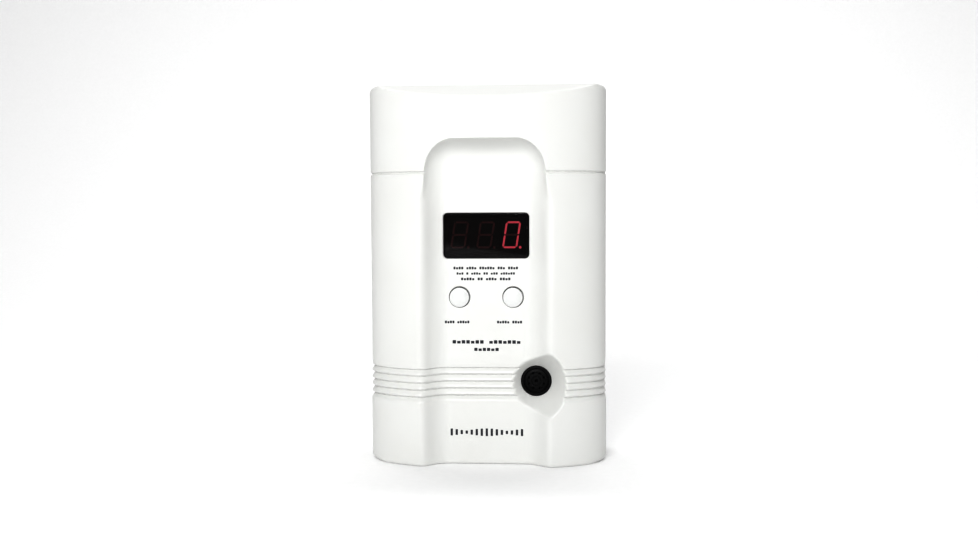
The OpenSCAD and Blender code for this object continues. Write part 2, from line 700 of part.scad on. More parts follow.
// Plug-in adapter: a tub, a lid that carries the blades, and the supply inside
lid_t = 3;
adapter_wall = 2;
adapter_screw_x = adapter_w / 2 - 4.5;
module at_adapter_screws() {
  for (sx = [-1, 1]) for (z = [adapter_z0 + 4.5, adapter_top_z - 4.5])
    translate([sx * adapter_screw_x, 0, z]) children();
}
module adapter_case() color([0.13, 0.13, 0.13]) {
  difference() {
    plate(round_box(-adapter_w / 2, adapter_z0, adapter_w / 2, adapter_top_z, 2), lid_t, adapter_d);
    difference() {
      slab(-adapter_w / 2 + adapter_wall, adapter_w / 2 - adapter_wall, lid_t - 1,
        adapter_d - adapter_wall, adapter_z0 + adapter_wall, adapter_top_z - adapter_wall);
      at_adapter_screws() rod(0, 0, 2.9, 0, adapter_d);
    }
    at_adapter_screws() rod(0, 0, 1.2, lid_t - 1, lid_t + 10);
    translate([inlet_x, yd(adapter_d / 2), adapter_z0 - 1]) cylinder(r = 1.8, h = adapter_wall + 2);
  }
}
blade_x = 6.35;
blade_t = 1.5;
blade_h = 6.35;
blade_tail = 3;
module adapter_lid() color([0.13, 0.13, 0.13]) {
  difference() {
    plate(round_box(-adapter_w / 2, adapter_z0, adapter_w / 2, adapter_top_z, 2), 0, lid_t);
    for (sx = [-1, 1]) slab(sx * blade_x - blade_t / 2, sx * blade_x + blade_t / 2, -1, lid_t + 1,
      adapter_mid_z - blade_h / 2, adapter_mid_z + blade_h / 2);
    at_adapter_screws() {
      rod(0, 0, 1.3, -1, lid_t + 1);
      rod(0, 0, 2.3, -1, 1.6);
    }
  }
}
core_z = adapter_top_z - adapter_wall - 14;
core_w = 30;
core_h = 25;
core_leg = 10;
core_yoke = 5.4;
core_t = 11;
winding_gap = 0.1;
winding_room = adapter_d - adapter_wall - lid_t - blade_tail;
winding_out = (winding_room - core_t) / 2 - winding_gap;
core_mid_d = lid_t + blade_tail + winding_room / 2;
module transformer_core() color([0.35, 0.35, 0.37]) {
  difference() {
    slab(-core_w / 2, core_w / 2, core_mid_d - core_t / 2, core_mid_d + core_t / 2,
      core_z - core_h / 2, core_z + core_h / 2);
    for (sx = [-1, 1]) let (x = sx * (core_leg + core_w - 2 * core_yoke) / 4) slab(
      x - (core_w / 2 - core_yoke - core_leg / 2) / 2,
      x + (core_w / 2 - core_yoke - core_leg / 2) / 2,
      core_mid_d - core_t, core_mid_d + core_t, core_z - core_h / 2 + core_yoke,
      core_z + core_h / 2 - core_yoke);
  }
}
module transformer_winding() color([0.7, 0.45, 0.15]) {
  reach = core_w / 2 - core_yoke - seat_gap;
  half_h = core_h / 2 - core_yoke - seat_gap;
  difference() {
    slab(-reach, reach, core_mid_d - core_t / 2 - winding_out, core_mid_d + core_t / 2 + winding_out,
      core_z - half_h, core_z + half_h);
    slab(-core_leg / 2 - seat_gap, core_leg / 2 + seat_gap, core_mid_d - core_t / 2 - seat_gap,
      core_mid_d + core_t / 2 + seat_gap, core_z - core_h, core_z + core_h);
  }
}
supply_z = adapter_z0 + adapter_wall + 0.3;
module adapter_board() color("peru") {
  slab(-11, 11, lid_t + 1.5, adapter_d - adapter_wall - 0.5, supply_z, supply_z + 1.4);
}
module adapter_capacitor() color([0.1, 0.12, 0.25]) {
  translate([-9.5, yd(core_mid_d), supply_z + 1.4 + 2.5]) rotate([0, 90, 0])
    cylinder(r = 2.5, h = 11);
}
module adapter_diodes() color([0.1, 0.1, 0.1]) {
  for (i = [-1.5 : 1.5]) translate([4, yd(core_mid_d + 3.4 * i), supply_z + 1.4 + 1.2])
    rotate([0, 90, 0]) cylinder(r = 1.2, h = 5);
}
// Two flat blades with a hole near the tip
module mains_blades() color("silver") {
  for (sx = [-1, 1]) difference() {
    side_plate([[lid_t + blade_tail, adapter_mid_z - blade_h / 2],
      [2 - blade_out, adapter_mid_z - blade_h / 2], [-blade_out, adapter_mid_z - blade_h / 4],
      [-blade_out, adapter_mid_z + blade_h / 4], [2 - blade_out, adapter_mid_z + blade_h / 2],
      [lid_t + blade_tail, adapter_mid_z + blade_h / 2]],
      sx * blade_x - blade_t / 2, sx * blade_x + blade_t / 2);
    translate([sx * blade_x - blade_t, yd(3.6 - blade_out), adapter_mid_z]) rotate([0, 90, 0])
      cylinder(r = 1.5, h = 2 * blade_t);
  }
}

// Pan-head screw pointing forward from a seat depth
module screw(r, length, cap_r, cap_t, seat_d) {
  difference() {
    union() {
      rod(0, 0, r, seat_d - eps, seat_d + length);
      rod(0, 0, cap_r, seat_d - cap_t, seat_d);
    }
    for (a = [0, 90]) translate([0, yd(seat_d - cap_t), 0]) rotate([0, a, 0])
      cube([1.3 * cap_r, cap_t, 0.25 * cap_r], center = true);
  }
}
module case_screws() color("silver") at_case_screws() screw(screw_r, 14, head_r, head_t, screw_seat_d);
module board_screws() color("silver") at_board_screws() screw(0.95, 6, 1.9, 1.1, board_back_d);
module adapter_screws() color("silver") at_adapter_screws() screw(1.15, 9, 2.1, 1.2, 1.6);

// Printed rating label sunk in the back
module rating_label() color("silver") slab(label_x0, label_x1, 0.05, label_t + 0.05, label_z0, label_z1);

front_cover();
rear_cover();
display_window();
led_display();
digit_hundreds();
digit_tens();
digit_units();
test_button();
peak_button();
test_plunger();
peak_plunger();
test_switch();
peak_switch();
main_board();
microcontroller();
resistors();
capacitors();
voltage_regulator();
horn_coil();
co_sensor();
sensor_pins();
horn_housing();
piezo_disc();
horn_back();
horn_leads();
battery();
battery_snap();
battery_leads();
battery_door();
power_inlet();
inlet_pins();
adapter_case();
adapter_lid();
transformer_core();
transformer_winding();
adapter_board();
adapter_capacitor();
adapter_diodes();
mains_blades();
case_screws();
board_screws();
adapter_screws();
rating_label();
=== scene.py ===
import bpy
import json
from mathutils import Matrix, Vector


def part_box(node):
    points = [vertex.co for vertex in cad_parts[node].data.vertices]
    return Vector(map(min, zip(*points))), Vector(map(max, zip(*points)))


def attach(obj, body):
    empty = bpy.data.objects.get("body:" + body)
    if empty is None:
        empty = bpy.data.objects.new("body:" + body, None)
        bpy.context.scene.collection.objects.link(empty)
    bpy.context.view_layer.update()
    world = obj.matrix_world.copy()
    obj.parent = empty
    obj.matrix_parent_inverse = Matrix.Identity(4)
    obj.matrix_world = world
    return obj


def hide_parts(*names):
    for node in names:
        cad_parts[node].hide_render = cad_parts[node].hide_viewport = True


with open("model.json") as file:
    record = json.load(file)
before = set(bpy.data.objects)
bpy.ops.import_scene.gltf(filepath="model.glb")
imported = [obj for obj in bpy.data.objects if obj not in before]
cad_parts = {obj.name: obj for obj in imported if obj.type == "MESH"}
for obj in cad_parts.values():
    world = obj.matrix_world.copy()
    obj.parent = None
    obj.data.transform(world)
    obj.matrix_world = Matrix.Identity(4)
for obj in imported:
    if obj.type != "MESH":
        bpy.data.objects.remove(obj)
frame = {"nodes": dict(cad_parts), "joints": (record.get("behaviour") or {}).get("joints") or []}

"""Looks of a carbon monoxide detector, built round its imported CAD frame.

Shapes are worked out in millimetres. X runs across, Z up, and a depth d runs forward from the
flat back of the case, so y = back - d. Meshes are in metres, in the frame's own place."""

import json
import math
from types import SimpleNamespace

import bpy
import numpy as np
from bpy.props import FloatProperty, FloatVectorProperty, IntProperty, PointerProperty
from mathutils import Euler, Quaternion

bl_info = {
    "name": "Carbon monoxide detector",
    "version": (1, 0, 0),
    "blender": (4, 5, 0),
    "location": "View3D > Sidebar > Detector",
    "description": "Builds the visible shells, display, buttons, horn and adapter of a CO detector",
    "category": "Object",
}

MM = 0.001
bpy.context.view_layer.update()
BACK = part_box("rear_cover")[1].y / MM


def reach(node):
    """A CAD node's sides in millimetres: x0 to x1, z0 to z1, and depths d0 to d1 from the back."""
    low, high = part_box(node)
    return SimpleNamespace(
        x0=low.x / MM, x1=high.x / MM, z0=low.z / MM, z1=high.z / MM,
        d0=BACK - high.y / MM, d1=BACK - low.y / MM,
        x=(low.x + high.x) / 2 / MM, z=(low.z + high.z) / 2 / MM, d=BACK - (low.y + high.y) / 2 / MM)


CASE = reach("front_cover")
WINDOW = reach("display_window")
HORN = reach("horn_housing")
DOOR = reach("battery_door")
DOCK = reach("adapter_case")
LID = reach("adapter_lid")
HALF_W = CASE.x1
TOP = CASE.z1

# Fits and walls that follow the CAD
WALL = 2.2
RUN_GAP = 0.3
LENS_LIP = 1.75
LENS_SINK = 0.2
FLOOR_D = WINDOW.d1 + LENS_SINK
BUTTON_FLANGE = 1.2
DOCK_GAP = 0.6
WELL_D = 17.0
WELL_H = 15
BAY_GAP = 1.2
BAY_WALL = 1.5
BAY_FLOOR = 1.2
SCREW_IN = 6
BLADE_X = 6.35
TERMINAL_X = 6.35

# Places of the four case screws
CORNERS = [(sx * (HALF_W - SCREW_IN), z) for sx in (-1, 1) for z in (SCREW_IN, TOP - SCREW_IN)]

# Ribs: the height over which one rises from its groove, and the curve above the first groove
RAMP = 1.85
SHOULDER = 0.32

# Panel: where its crown's cove passes into banks, the steepness outside its outline, and the
# widths over which its surfaces blend
CROWN_REACH = 24
CROWN_FADE = 18
OUTSIDE_SLOPE = 8
BANK_BLEND = 5.2
CROWN_EDGE = 0.45
BANK_EDGE = 2.6
TOP_BLEND = 0.8
HORN_BLEND = 1.0

# Lines of print on the front: middle x and z, width, height and the blocks in each word
LEGENDS = [(-0.2, 75.9, 25.0, 0.95, [4, 4, 6, 3, 4]), (-0.2, 73.8, 22.6, 0.8, [3, 1, 4, 2, 3, 6]),
           (-0.2, 71.7, 19.2, 0.95, [5, 2, 4, 4]), (-11.3, 55.1, 9.6, 0.95, [4, 5]),
           (8.9, 55.1, 9.8, 0.95, [5, 4]), (0.0, 47.4, 26.6, 1.25, [7, 7]), (0.0, 44.5, 9.8, 1.15, [6])]
LABEL_LINES = [[5, 3, 6], [4, 7, 2, 3], [6, 5, 4], [3, 3, 5, 4], [7, 4], [4, 4, 6]]


# ---------------------------------------------------------------- settings

def length(name, text, value):
    """A length in millimetres that a user may change."""
    return FloatProperty(name=name, description=text, default=value, unit="NONE")


def colour(name, text, value):
    """A colour that a user may change."""
    return FloatVectorProperty(name=name, description=text, default=value, subtype="COLOR",
                               size=3, min=0, max=1)


class CaseSettings(bpy.types.PropertyGroup):
    """Shapes and colours of the two case shells."""
    bow: length("Bow", "How far the front bows out beyond its flat sides, in mm", 20.0)
    panel_half: length("Panel half width", "Half the width of the recessed panel, in mm", 23.0)
    arch_radius: length("Arch radius", "Radius of the corners of the panel's arch, in mm", 12.0)
    arch_drop: length("Arch drop", "Distance of the arch below the top of the case, in mm", 21.0)
    bank: FloatProperty(name="Bank", description="Steepness of the panel's side banks", default=1.2)
    bank_foot: length("Bank foot", "How far inside the panel its banks start, in mm", 4.5)
    top_drop: length("Top drop", "Fall of the sloping top towards the front, in mm", 5.5)
    top_run: length("Top run", "Depth of the sloping top, in mm", 12.6)
    rib_top: length("Rib top", "Height of the uppermost rib groove, in mm", 37.15)
    rib_pitch: length("Rib pitch", "Spacing of the rib grooves, in mm", 2.7)
    rib_count: IntProperty(name="Ribs", description="Number of rib grooves", default=5, min=1)
    groove: length("Groove", "Depth of a rib groove, in mm", 1.05)
    skirt: length("Skirt", "How far the part below the ribs stands proud, in mm", 0.28)
    toe: length("Toe", "How far the panel leans forward at its foot, in mm", 0.9)
    cap_drop: length("Cap line", "Distance of the cap line below the top of the case, in mm", 33.7)
    edge: length("Edge", "Rounding of the outer edges, in mm", 1.1)
    corner: length("Corner", "Rounding of the four corners seen from the front, in mm", 2.4)
    plastic: colour("Plastic", "Colour of the case", (0.73, 0.735, 0.725))
    ink: colour("Ink", "Colour of the printed marks", (0.035, 0.037, 0.045))


class DisplaySettings(bpy.types.PropertyGroup):
    """Sizes and colours of the three-digit display."""
    digit_height: length("Digit height", "Height of a digit, in mm", 10.4)
    digit_width: length("Digit width", "Width of a digit, in mm", 5.9)
    bar: length("Bar", "Thickness of a segment, in mm", 0.78)
    slant: FloatProperty(name="Slant", description="Lean of the digits", subtype="ANGLE",
                         default=math.radians(9))
    lit: colour("Lit", "Colour of a lit segment", (1.0, 0.07, 0.12))
    unlit: colour("Unlit", "Colour of a dark segment", (0.95, 0.30, 0.32))
    lens: colour("Lens", "Colour of the smoked lens", (0.004, 0.002, 0.002))
    glow: FloatProperty(name="Glow", description="Strength of the lit segments", default=3.4, min=0)


class TrimSettings(bpy.types.PropertyGroup):
    """Sizes and colours of the buttons, the horn, the adapter and the small parts."""
    horn_hole: length("Horn hole", "Radius of the horn's hole, in mm", 6.0)
    flare: length("Flare", "Growth of the horn's funnel in mm for each mm of depth", 0.66)
    dome: length("Dome", "Radius of the domed button face, in mm", 7.0)
    button: colour("Button", "Colour of the buttons", (0.73, 0.735, 0.73))
    horn: colour("Horn", "Colour of the horn", (0.0035, 0.0035, 0.004))
    adapter: colour("Adapter", "Colour of the plug-in adapter", (0.03, 0.03, 0.032))


# ---------------------------------------------------------------- meshes

def outward(points, faces):
    """The faces, turned round if the volume that they close comes out negative. The volume is
    the sum over each face's fan of triangles of a . (b x c) / 6."""
    volume = 0.0
    for sides in {len(f) for f in faces}:
        ring = np.array([f for f in faces if len(f) == sides])
        a = points[ring[:, 0]]
        for k in range(1, sides - 1):
            volume += np.einsum("ij,ij->", a, np.cross(points[ring[:, k]], points[ring[:, k + 1]]))
    return [tuple(reversed(f)) for f in faces] if volume < 0 else faces


def solid(name, points, faces):
    """An object of (x, depth, z) points in millimetres, with its faces turned outwards."""
    x, d, z = np.asarray(points, float).T
    place = np.column_stack([x, BACK - d, z]) * MM
    mesh = bpy.data.meshes.new(name)
    mesh.from_pydata(place.tolist(), [], outward(place, [tuple(f) for f in faces]))
    mesh.validate()
    made = bpy.data.objects.new(name, mesh)
    bpy.context.scene.collection.objects.link(made)
    return made


def rounded(x0, x1, z0, z1, radius, steps=6):
    """Outline of a rounded rectangle that can grow: point = corner centre + (radius + grow) *
    (cos a, sin a), with a going once round in four quarter turns."""
    a = np.radians(np.concatenate([np.linspace(q, q + 90, steps + 1) for q in (-90, 0, 90, 180)]))
    side_x = np.repeat([1, 1, 0, 0], steps + 1)
    side_z = np.repeat([0, 1, 1, 0], steps + 1)
    corner_x = np.where(side_x, x1 - radius, x0 + radius)
    corner_z = np.where(side_z, z1 - radius, z0 + radius)

    def outline(grow):
        r = max(radius + grow, 0.02)
        return np.column_stack([corner_x + r * np.cos(a), corner_z + r * np.sin(a)])
    return outline


def circle(x, z, steps=48):
    """Outline of a circle whose radius is the growth."""
    a = np.arange(steps) * 2 * math.pi / steps
    return lambda grow: np.column_stack([x + grow * np.cos(a), z + grow * np.sin(a)])


def stack(name, outline, steps, axis="d"):
    """A closed solid whose outline, grown by a varying amount, is carried along an axis: steps
    are (place, growth) pairs. Along "d" the outline is (x, z), along "x" it is (d, z) and along
    "z" it is (x, d)."""
    columns = {"d": (0, 2, 1), "x": (1, 2, 0), "z": (0, 1, 2)}[axis]
    rings = np.array([np.column_stack([outline(g), np.full(len(outline(g)), p)])
                      for p, g in steps])
    count, around = rings.shape[:2]
    points = np.empty((count * around, 3))
    points[:, list(columns)] = rings.reshape(-1, 3)
    i = np.arange(count - 1)[:, None] * around
    j = np.arange(around)[None]
    k = (j + 1) % around
    walls = np.stack([i + j, i + k, i + k + around, i + j + around], -1).reshape(-1, 4)
    last = (count - 1) * around
    ends = [tuple(range(around))[::-1], tuple(range(last, last + around))]
    return solid(name, points, walls.tolist() + ends)


def rolled(start, end, radius_start, radius_end, steps=4, grow=0.0):
    """Steps of a solid whose two ends are rounded: near an end the growth is
    -r (1 - sin a) at the depth r (1 - cos a)."""
    a = np.linspace(0, math.pi / 2, steps + 1)
    way = math.copysign(1, end - start)
    first = [(start + way * radius_start * (1 - math.cos(t)),
              grow - radius_start * (1 - math.sin(t))) for t in a]
    second = [(end - way * radius_end * (1 - math.cos(t)),
               grow - radius_end * (1 - math.sin(t))) for t in a[::-1]]
    return first + second


def flared(face, deep, radius, beyond=2.0, steps=4, grow=0.0):
    """Steps of a cutter that enters at a face and leaves a rounded lip there: near the face the
    growth is r (1 - sin a) at the depth r (1 - cos a)."""
    way = math.copysign(1, deep - face)
    mouth = [(face - way * beyond, grow + radius)]
    lip = [(face + way * radius * (1 - math.cos(t)), grow + radius * (1 - math.sin(t)))
           for t in np.linspace(0, math.pi / 2, steps + 1)]
    return mouth + lip + [(deep, grow)]


def combine(body, others, operation="DIFFERENCE"):
    """The body with each of the other solids cut away from it or joined to it."""
    for other in others:
        modifier = body.modifiers.new("combine", "BOOLEAN")
        modifier.operation = operation
        modifier.solver = "MANIFOLD"
        modifier.object = other
    graph = bpy.context.evaluated_depsgraph_get()
    mesh = bpy.data.meshes.new_from_object(body.evaluated_get(graph))
    body.modifiers.clear()
    old = body.data
    body.data = mesh
    bpy.data.meshes.remove(old)
    mesh.name = body.name
    for other in others:
        spent = other.data
        bpy.data.objects.remove(other)
        bpy.data.meshes.remove(spent)
    return body


def merge(name, parts):
    """Several solids that don't touch, as one object."""
    points, faces, start = [], [], 0
    for part in parts:
        co = np.empty(len(part.data.vertices) * 3)
        part.data.vertices.foreach_get("co", co)
        points.append(co.reshape(-1, 3))
        faces += [tuple(v + start for v in p.vertices) for p in part.data.polygons]
        start += len(part.data.vertices)
        spent = part.data
        bpy.data.objects.remove(part)
        bpy.data.meshes.remove(spent)
    mesh = bpy.data.meshes.new(name)
    mesh.from_pydata(np.concatenate(points).tolist(), [], faces)
    made = bpy.data.objects.new(name, mesh)
    bpy.context.scene.collection.objects.link(made)
    return made


def fit(piece, body, finish, nodes=(), crease=30):
    """Gives a piece its finish, smooth faces with creases past an angle, and its CAD body."""
    piece.data.materials.clear()
    piece.data.materials.append(finish)
    piece.data.shade_smooth()
    piece.data.set_sharp_from_angle(angle=math.radians(crease))
    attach(piece, body)
    if nodes:
        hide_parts(*nodes)
    return piece


# ---------------------------------------------------------------- finishes

class Wire:
    """A number socket in a shader. Sums on it read as expressions and add their Math nodes."""

    def __init__(self, finish, socket):
        self.finish = finish
        self.socket = socket

    def math(self, operation, *values):
        inputs = {i: v for i, v in enumerate(values)}
        return self.finish.node("ShaderNodeMath", {"operation": operation}, inputs)

    def __add__(self, other):
        return self.math("ADD", self, other)

    __radd__ = __add__

    def __sub__(self, other):
        return self.math("SUBTRACT", self, other)

    def __rsub__(self, other):
        return self.math("SUBTRACT", other, self)

    def __mul__(self, other):
        return self.math("MULTIPLY", self, other)

    __rmul__ = __mul__

    def __gt__(self, other):
        return self.math("GREATER_THAN", self, other)

    def __lt__(self, other):
        return self.math("LESS_THAN", self, other)

    def __abs__(self):
        return self.math("ABSOLUTE", self)

    def wave(self):
        return self.math("SINE", self)

    def fraction(self):
        return self.math("FRACT", self)


class Finish:
    """A material with a Principled shader, and the one way in which its nodes are added."""

    def __init__(self, name, **constants):
        self.material = bpy.data.materials.new(name)
        self.material.use_nodes = True
        self.tree = self.material.node_tree
        self.shader = self.tree.nodes["Principled BSDF"]
        for key, value in constants.items():
            self.shader.inputs[key.replace("_", " ")].default_value = value
        self.place = self.node("ShaderNodeTexCoord", output="Object")

    def node(self, kind, settings=None, inputs=None, output=0):
        made = self.tree.nodes.new(kind)
        for key, value in (settings or {}).items():
            setattr(made, key, value)
        for key, value in (inputs or {}).items():
            if isinstance(value, Wire):
                self.tree.links.new(value.socket, made.inputs[key])
            else:
                made.inputs[key].default_value = value
        return Wire(self, made.outputs[output])

    def noise(self, size, detail=2.0, roughness=0.5, place=None):
        """Noise from 0 to 1 whose features are about size millimetres across."""
        inputs = {"Vector": place or self.place, "Scale": 1 / (size * MM), "Detail": detail,
                  "Roughness": roughness}
        return self.node("ShaderNodeTexNoise", None, inputs)

    def stretched(self, x, y, z):
        """The place with each axis scaled, which draws a pattern out along the small ones."""
        return self.node("ShaderNodeMapping", None, {"Vector": self.place, "Scale": (x, y, z)})

    def axis(self, name):
        """One coordinate of the place, in millimetres."""
        split = self.node("ShaderNodeSeparateXYZ", None, {"Vector": self.place}, name)
        return split * (1 / MM)

    def blend(self, factor, first, second):
        """The first colour where the factor is 0 and the second where it is 1."""
        inputs = {0: factor, 6: first, 7: second}
        inputs = {k: (*v, 1.0) if isinstance(v, tuple) and len(v) == 3 else v
                  for k, v in inputs.items()}
        return self.node("ShaderNodeMix", {"data_type": "RGBA"}, inputs, 2)

    def set(self, **sockets):
        """Links or sets the shader's sockets, named with _ for a space."""
        for key, value in sockets.items():
            socket = self.shader.inputs[key.replace("_", " ")]
            if isinstance(value, Wire):
                self.tree.links.new(value.socket, socket)
            else:
                socket.default_value = value
        return self

    def bump(self, height, depth, strength=1.0):
        """Raises the surface by the height times a depth in millimetres."""
        inputs = {"Height": height, "Distance": depth * MM, "Strength": strength}
        return self.set(Normal=self.node("ShaderNodeBump", None, inputs, "Normal"))


def shade(colour_value, factor):
    """A colour made lighter or darker, as a plain tuple."""
    return tuple(min(1.0, c * factor) for c in colour_value)


def moulded(name, tone, roughness=0.42, grain=0.32, relief=0.012, mottle=0.03, specular=0.4,
            warmth=0.0):
    """Moulded plastic: a fine spark-eroded grain in the relief, slow mottling in the colour and
    a sheen that varies a little with both."""
    f = Finish(name, Specular_IOR_Level=specular)
    cloud = f.noise(22, 3)
    fine = f.noise(grain, 2, 0.6)
    coarse = f.noise(grain * 3.1, 1)
    warm = tuple(c * k for c, k in zip(shade(tone, 1 - mottle), (1 + warmth, 1.0, 1 - 2 * warmth)))
    f.set(Base_Color=f.blend(cloud, warm, shade(tone, 1 + mottle * 0.6)),
          Roughness=roughness - 0.06 + 0.08 * fine + 0.05 * cloud)
    f.bump(0.7 * fine + 0.3 * coarse, relief)
    return f.material


def metal(name, tone, roughness=0.3, draw=(1, 1, 14), scratch=0.004):
    """Drawn or stamped metal: fine lines along the drawing direction and slow tarnish."""
    f = Finish(name, Metallic=1.0)
    lines = f.noise(0.5, 3, 0.6, f.stretched(*draw))
    tarnish = f.noise(3.5, 3)
    f.set(Base_Color=f.blend(tarnish, shade(tone, 0.8), shade(tone, 1.06)),
          Roughness=roughness - 0.08 + 0.16 * lines + 0.08 * tarnish)
    f.bump(lines, scratch)
    return f.material


def lens_finish(tone):
    """Smoked lens: nearly black, clear enough for the digits, glossy with faint haze."""
    f = Finish("smoked_lens", Specular_IOR_Level=0.5, IOR=1.49)
    haze = f.noise(6, 3)
    f.set(Base_Color=f.blend(haze, shade(tone, 0.7), shade(tone, 1.5)),
          Roughness=0.06 + 0.05 * haze, Alpha=0.56 + 0.05 * haze)
    f.bump(f.noise(9, 1), 0.01)
    return f.material


def segment_finish(name, tone, glow):
    """Moulded light pipe of a segment: a frosted face with a slow change of tone."""
    f = Finish(name, Emission_Strength=glow, Specular_IOR_Level=0.3)
    frost = f.noise(0.45, 2)
    f.set(Base_Color=f.blend(frost, shade(tone, 0.75), shade(tone, 1.1)),
          Roughness=0.5 + 0.2 * frost)
    core = (1.0, 0.26, 0.32)
    f.set(Emission_Color=f.blend(frost, shade(tone, 0.85), core) if glow else (0, 0, 0, 1))
    f.bump(frost, 0.02)
    return f.material


def board_finish():
    """Circuit board: green mask over copper tracks that run in lanes and show as raised lines."""
    f = Finish("solder_mask", Specular_IOR_Level=0.5)
    lane = abs((f.axis("X") * 0.42 + 2.2 * f.noise(9, 0)).fraction() - 0.5)
    cross = abs((f.axis("Z") * 0.31 + 2.0 * f.noise(13, 0)).fraction() - 0.5)
    upright = lane < 0.1
    track = upright.math("MAXIMUM", upright, cross < 0.09)
    pad = f.node("ShaderNodeTexVoronoi", None, {"Vector": f.place, "Scale": 1 / (5 * MM)})
    tinned = pad < 0.14
    green = f.blend(track, (0.012, 0.10, 0.035), (0.02, 0.17, 0.06))
    f.set(Base_Color=f.blend(tinned, green, (0.55, 0.55, 0.52)), Metallic=tinned * 0.9,
          Roughness=0.28 + 0.12 * f.noise(1.2))
    f.bump(track + tinned, 0.04)
    return f.material


def wound_finish(name, tone, turns=0.35):
    """Wound wire or laminated steel: ridges that follow the depth, with uneven shading."""
    f = Finish(name, Specular_IOR_Level=0.5)
    ridge = (f.axis("Y") * (2 * math.pi / turns)).wave()
    tint = f.noise(2.5, 2)
    f.set(Base_Color=f.blend(tint, shade(tone, 0.75), shade(tone, 1.15)),
          Roughness=0.35 + 0.2 * tint, Metallic=0.4)
    f.bump(ridge, 0.05)
    return f.material


def banded_finish(name, tone, bands, wavelength, axis="Z", metallic=0.0, roughness=0.35):
    """A small part whose coloured bands repeat along one axis: band colours at shares of it."""
    f = Finish(name, Metallic=metallic, Specular_IOR_Level=0.5)
    along = (f.axis(axis) * (1 / wavelength)).fraction()
    look = f.blend(f.noise(1.5), shade(tone, 0.88), shade(tone, 1.1))
    for start, end, band in bands:
        inside = (along > start) * (along < end)
        look = f.blend(inside, look, band)
    f.set(Base_Color=look, Roughness=roughness + 0.1 * f.noise(0.8))
    f.bump(f.noise(0.5), 0.01)
    return f.material


def jacket_finish():
    """Battery jacket: dark lacquered steel with a bright collar near its terminals."""
    f = Finish("battery_jacket", Specular_IOR_Level=0.5)
    collar_z = reach("battery").z1 - 14
    collar = f.axis("Z") > collar_z
    edge = abs(f.axis("Z") - collar_z) < 0.6
    dark = f.blend(f.noise(4), (0.018, 0.02, 0.03), (0.03, 0.033, 0.045))
    look = f.blend(collar, dark, (0.52, 0.30, 0.10))
    f.set(Base_Color=f.blend(edge, look, (0.7, 0.7, 0.68)), Metallic=collar * 0.85,
          Roughness=0.26 + 0.12 * f.noise(1.4))
    f.bump(f.noise(0.7), 0.01)
    return f.material


def stage_finish():
    """Matt studio paper, with a trace of its own light so that it stays pale."""
    f = Finish("studio_paper", Specular_IOR_Level=0.1, Roughness=0.9)
    pulp = f.noise(3, 3)
    f.set(Base_Color=f.blend(pulp, (0.78, 0.78, 0.78), (0.82, 0.82, 0.82)))
    f.set(Emission_Color=(1, 1, 1, 1), Emission_Strength=0.14)
    return f.material


# ---------------------------------------------------------------- front shell

def spread(*runs):
    """Places from runs of (start, end, spacing), each run cut into equal steps."""
    parts = [np.linspace(a, b, max(2, int(round((b - a) / gap)) + 1))[:-1] for a, b, gap in runs]
    return np.concatenate(parts + [[runs[-1][1]]])


def soft_min(a, b, blend):
    """The lesser of two surfaces, rounded off over a blend width:
    min(a, b) - h^2 blend / 4, with h = max(blend - |a - b|, 0) / blend."""
    h = np.maximum(blend - np.abs(a - b), 0) / blend
    return np.minimum(a, b) - h * h * blend / 4


def smooth(x):
    """3x^2 - 2x^3 between 0 and 1."""
    x = np.clip(x, 0, 1)
    return x * x * (3 - 2 * x)


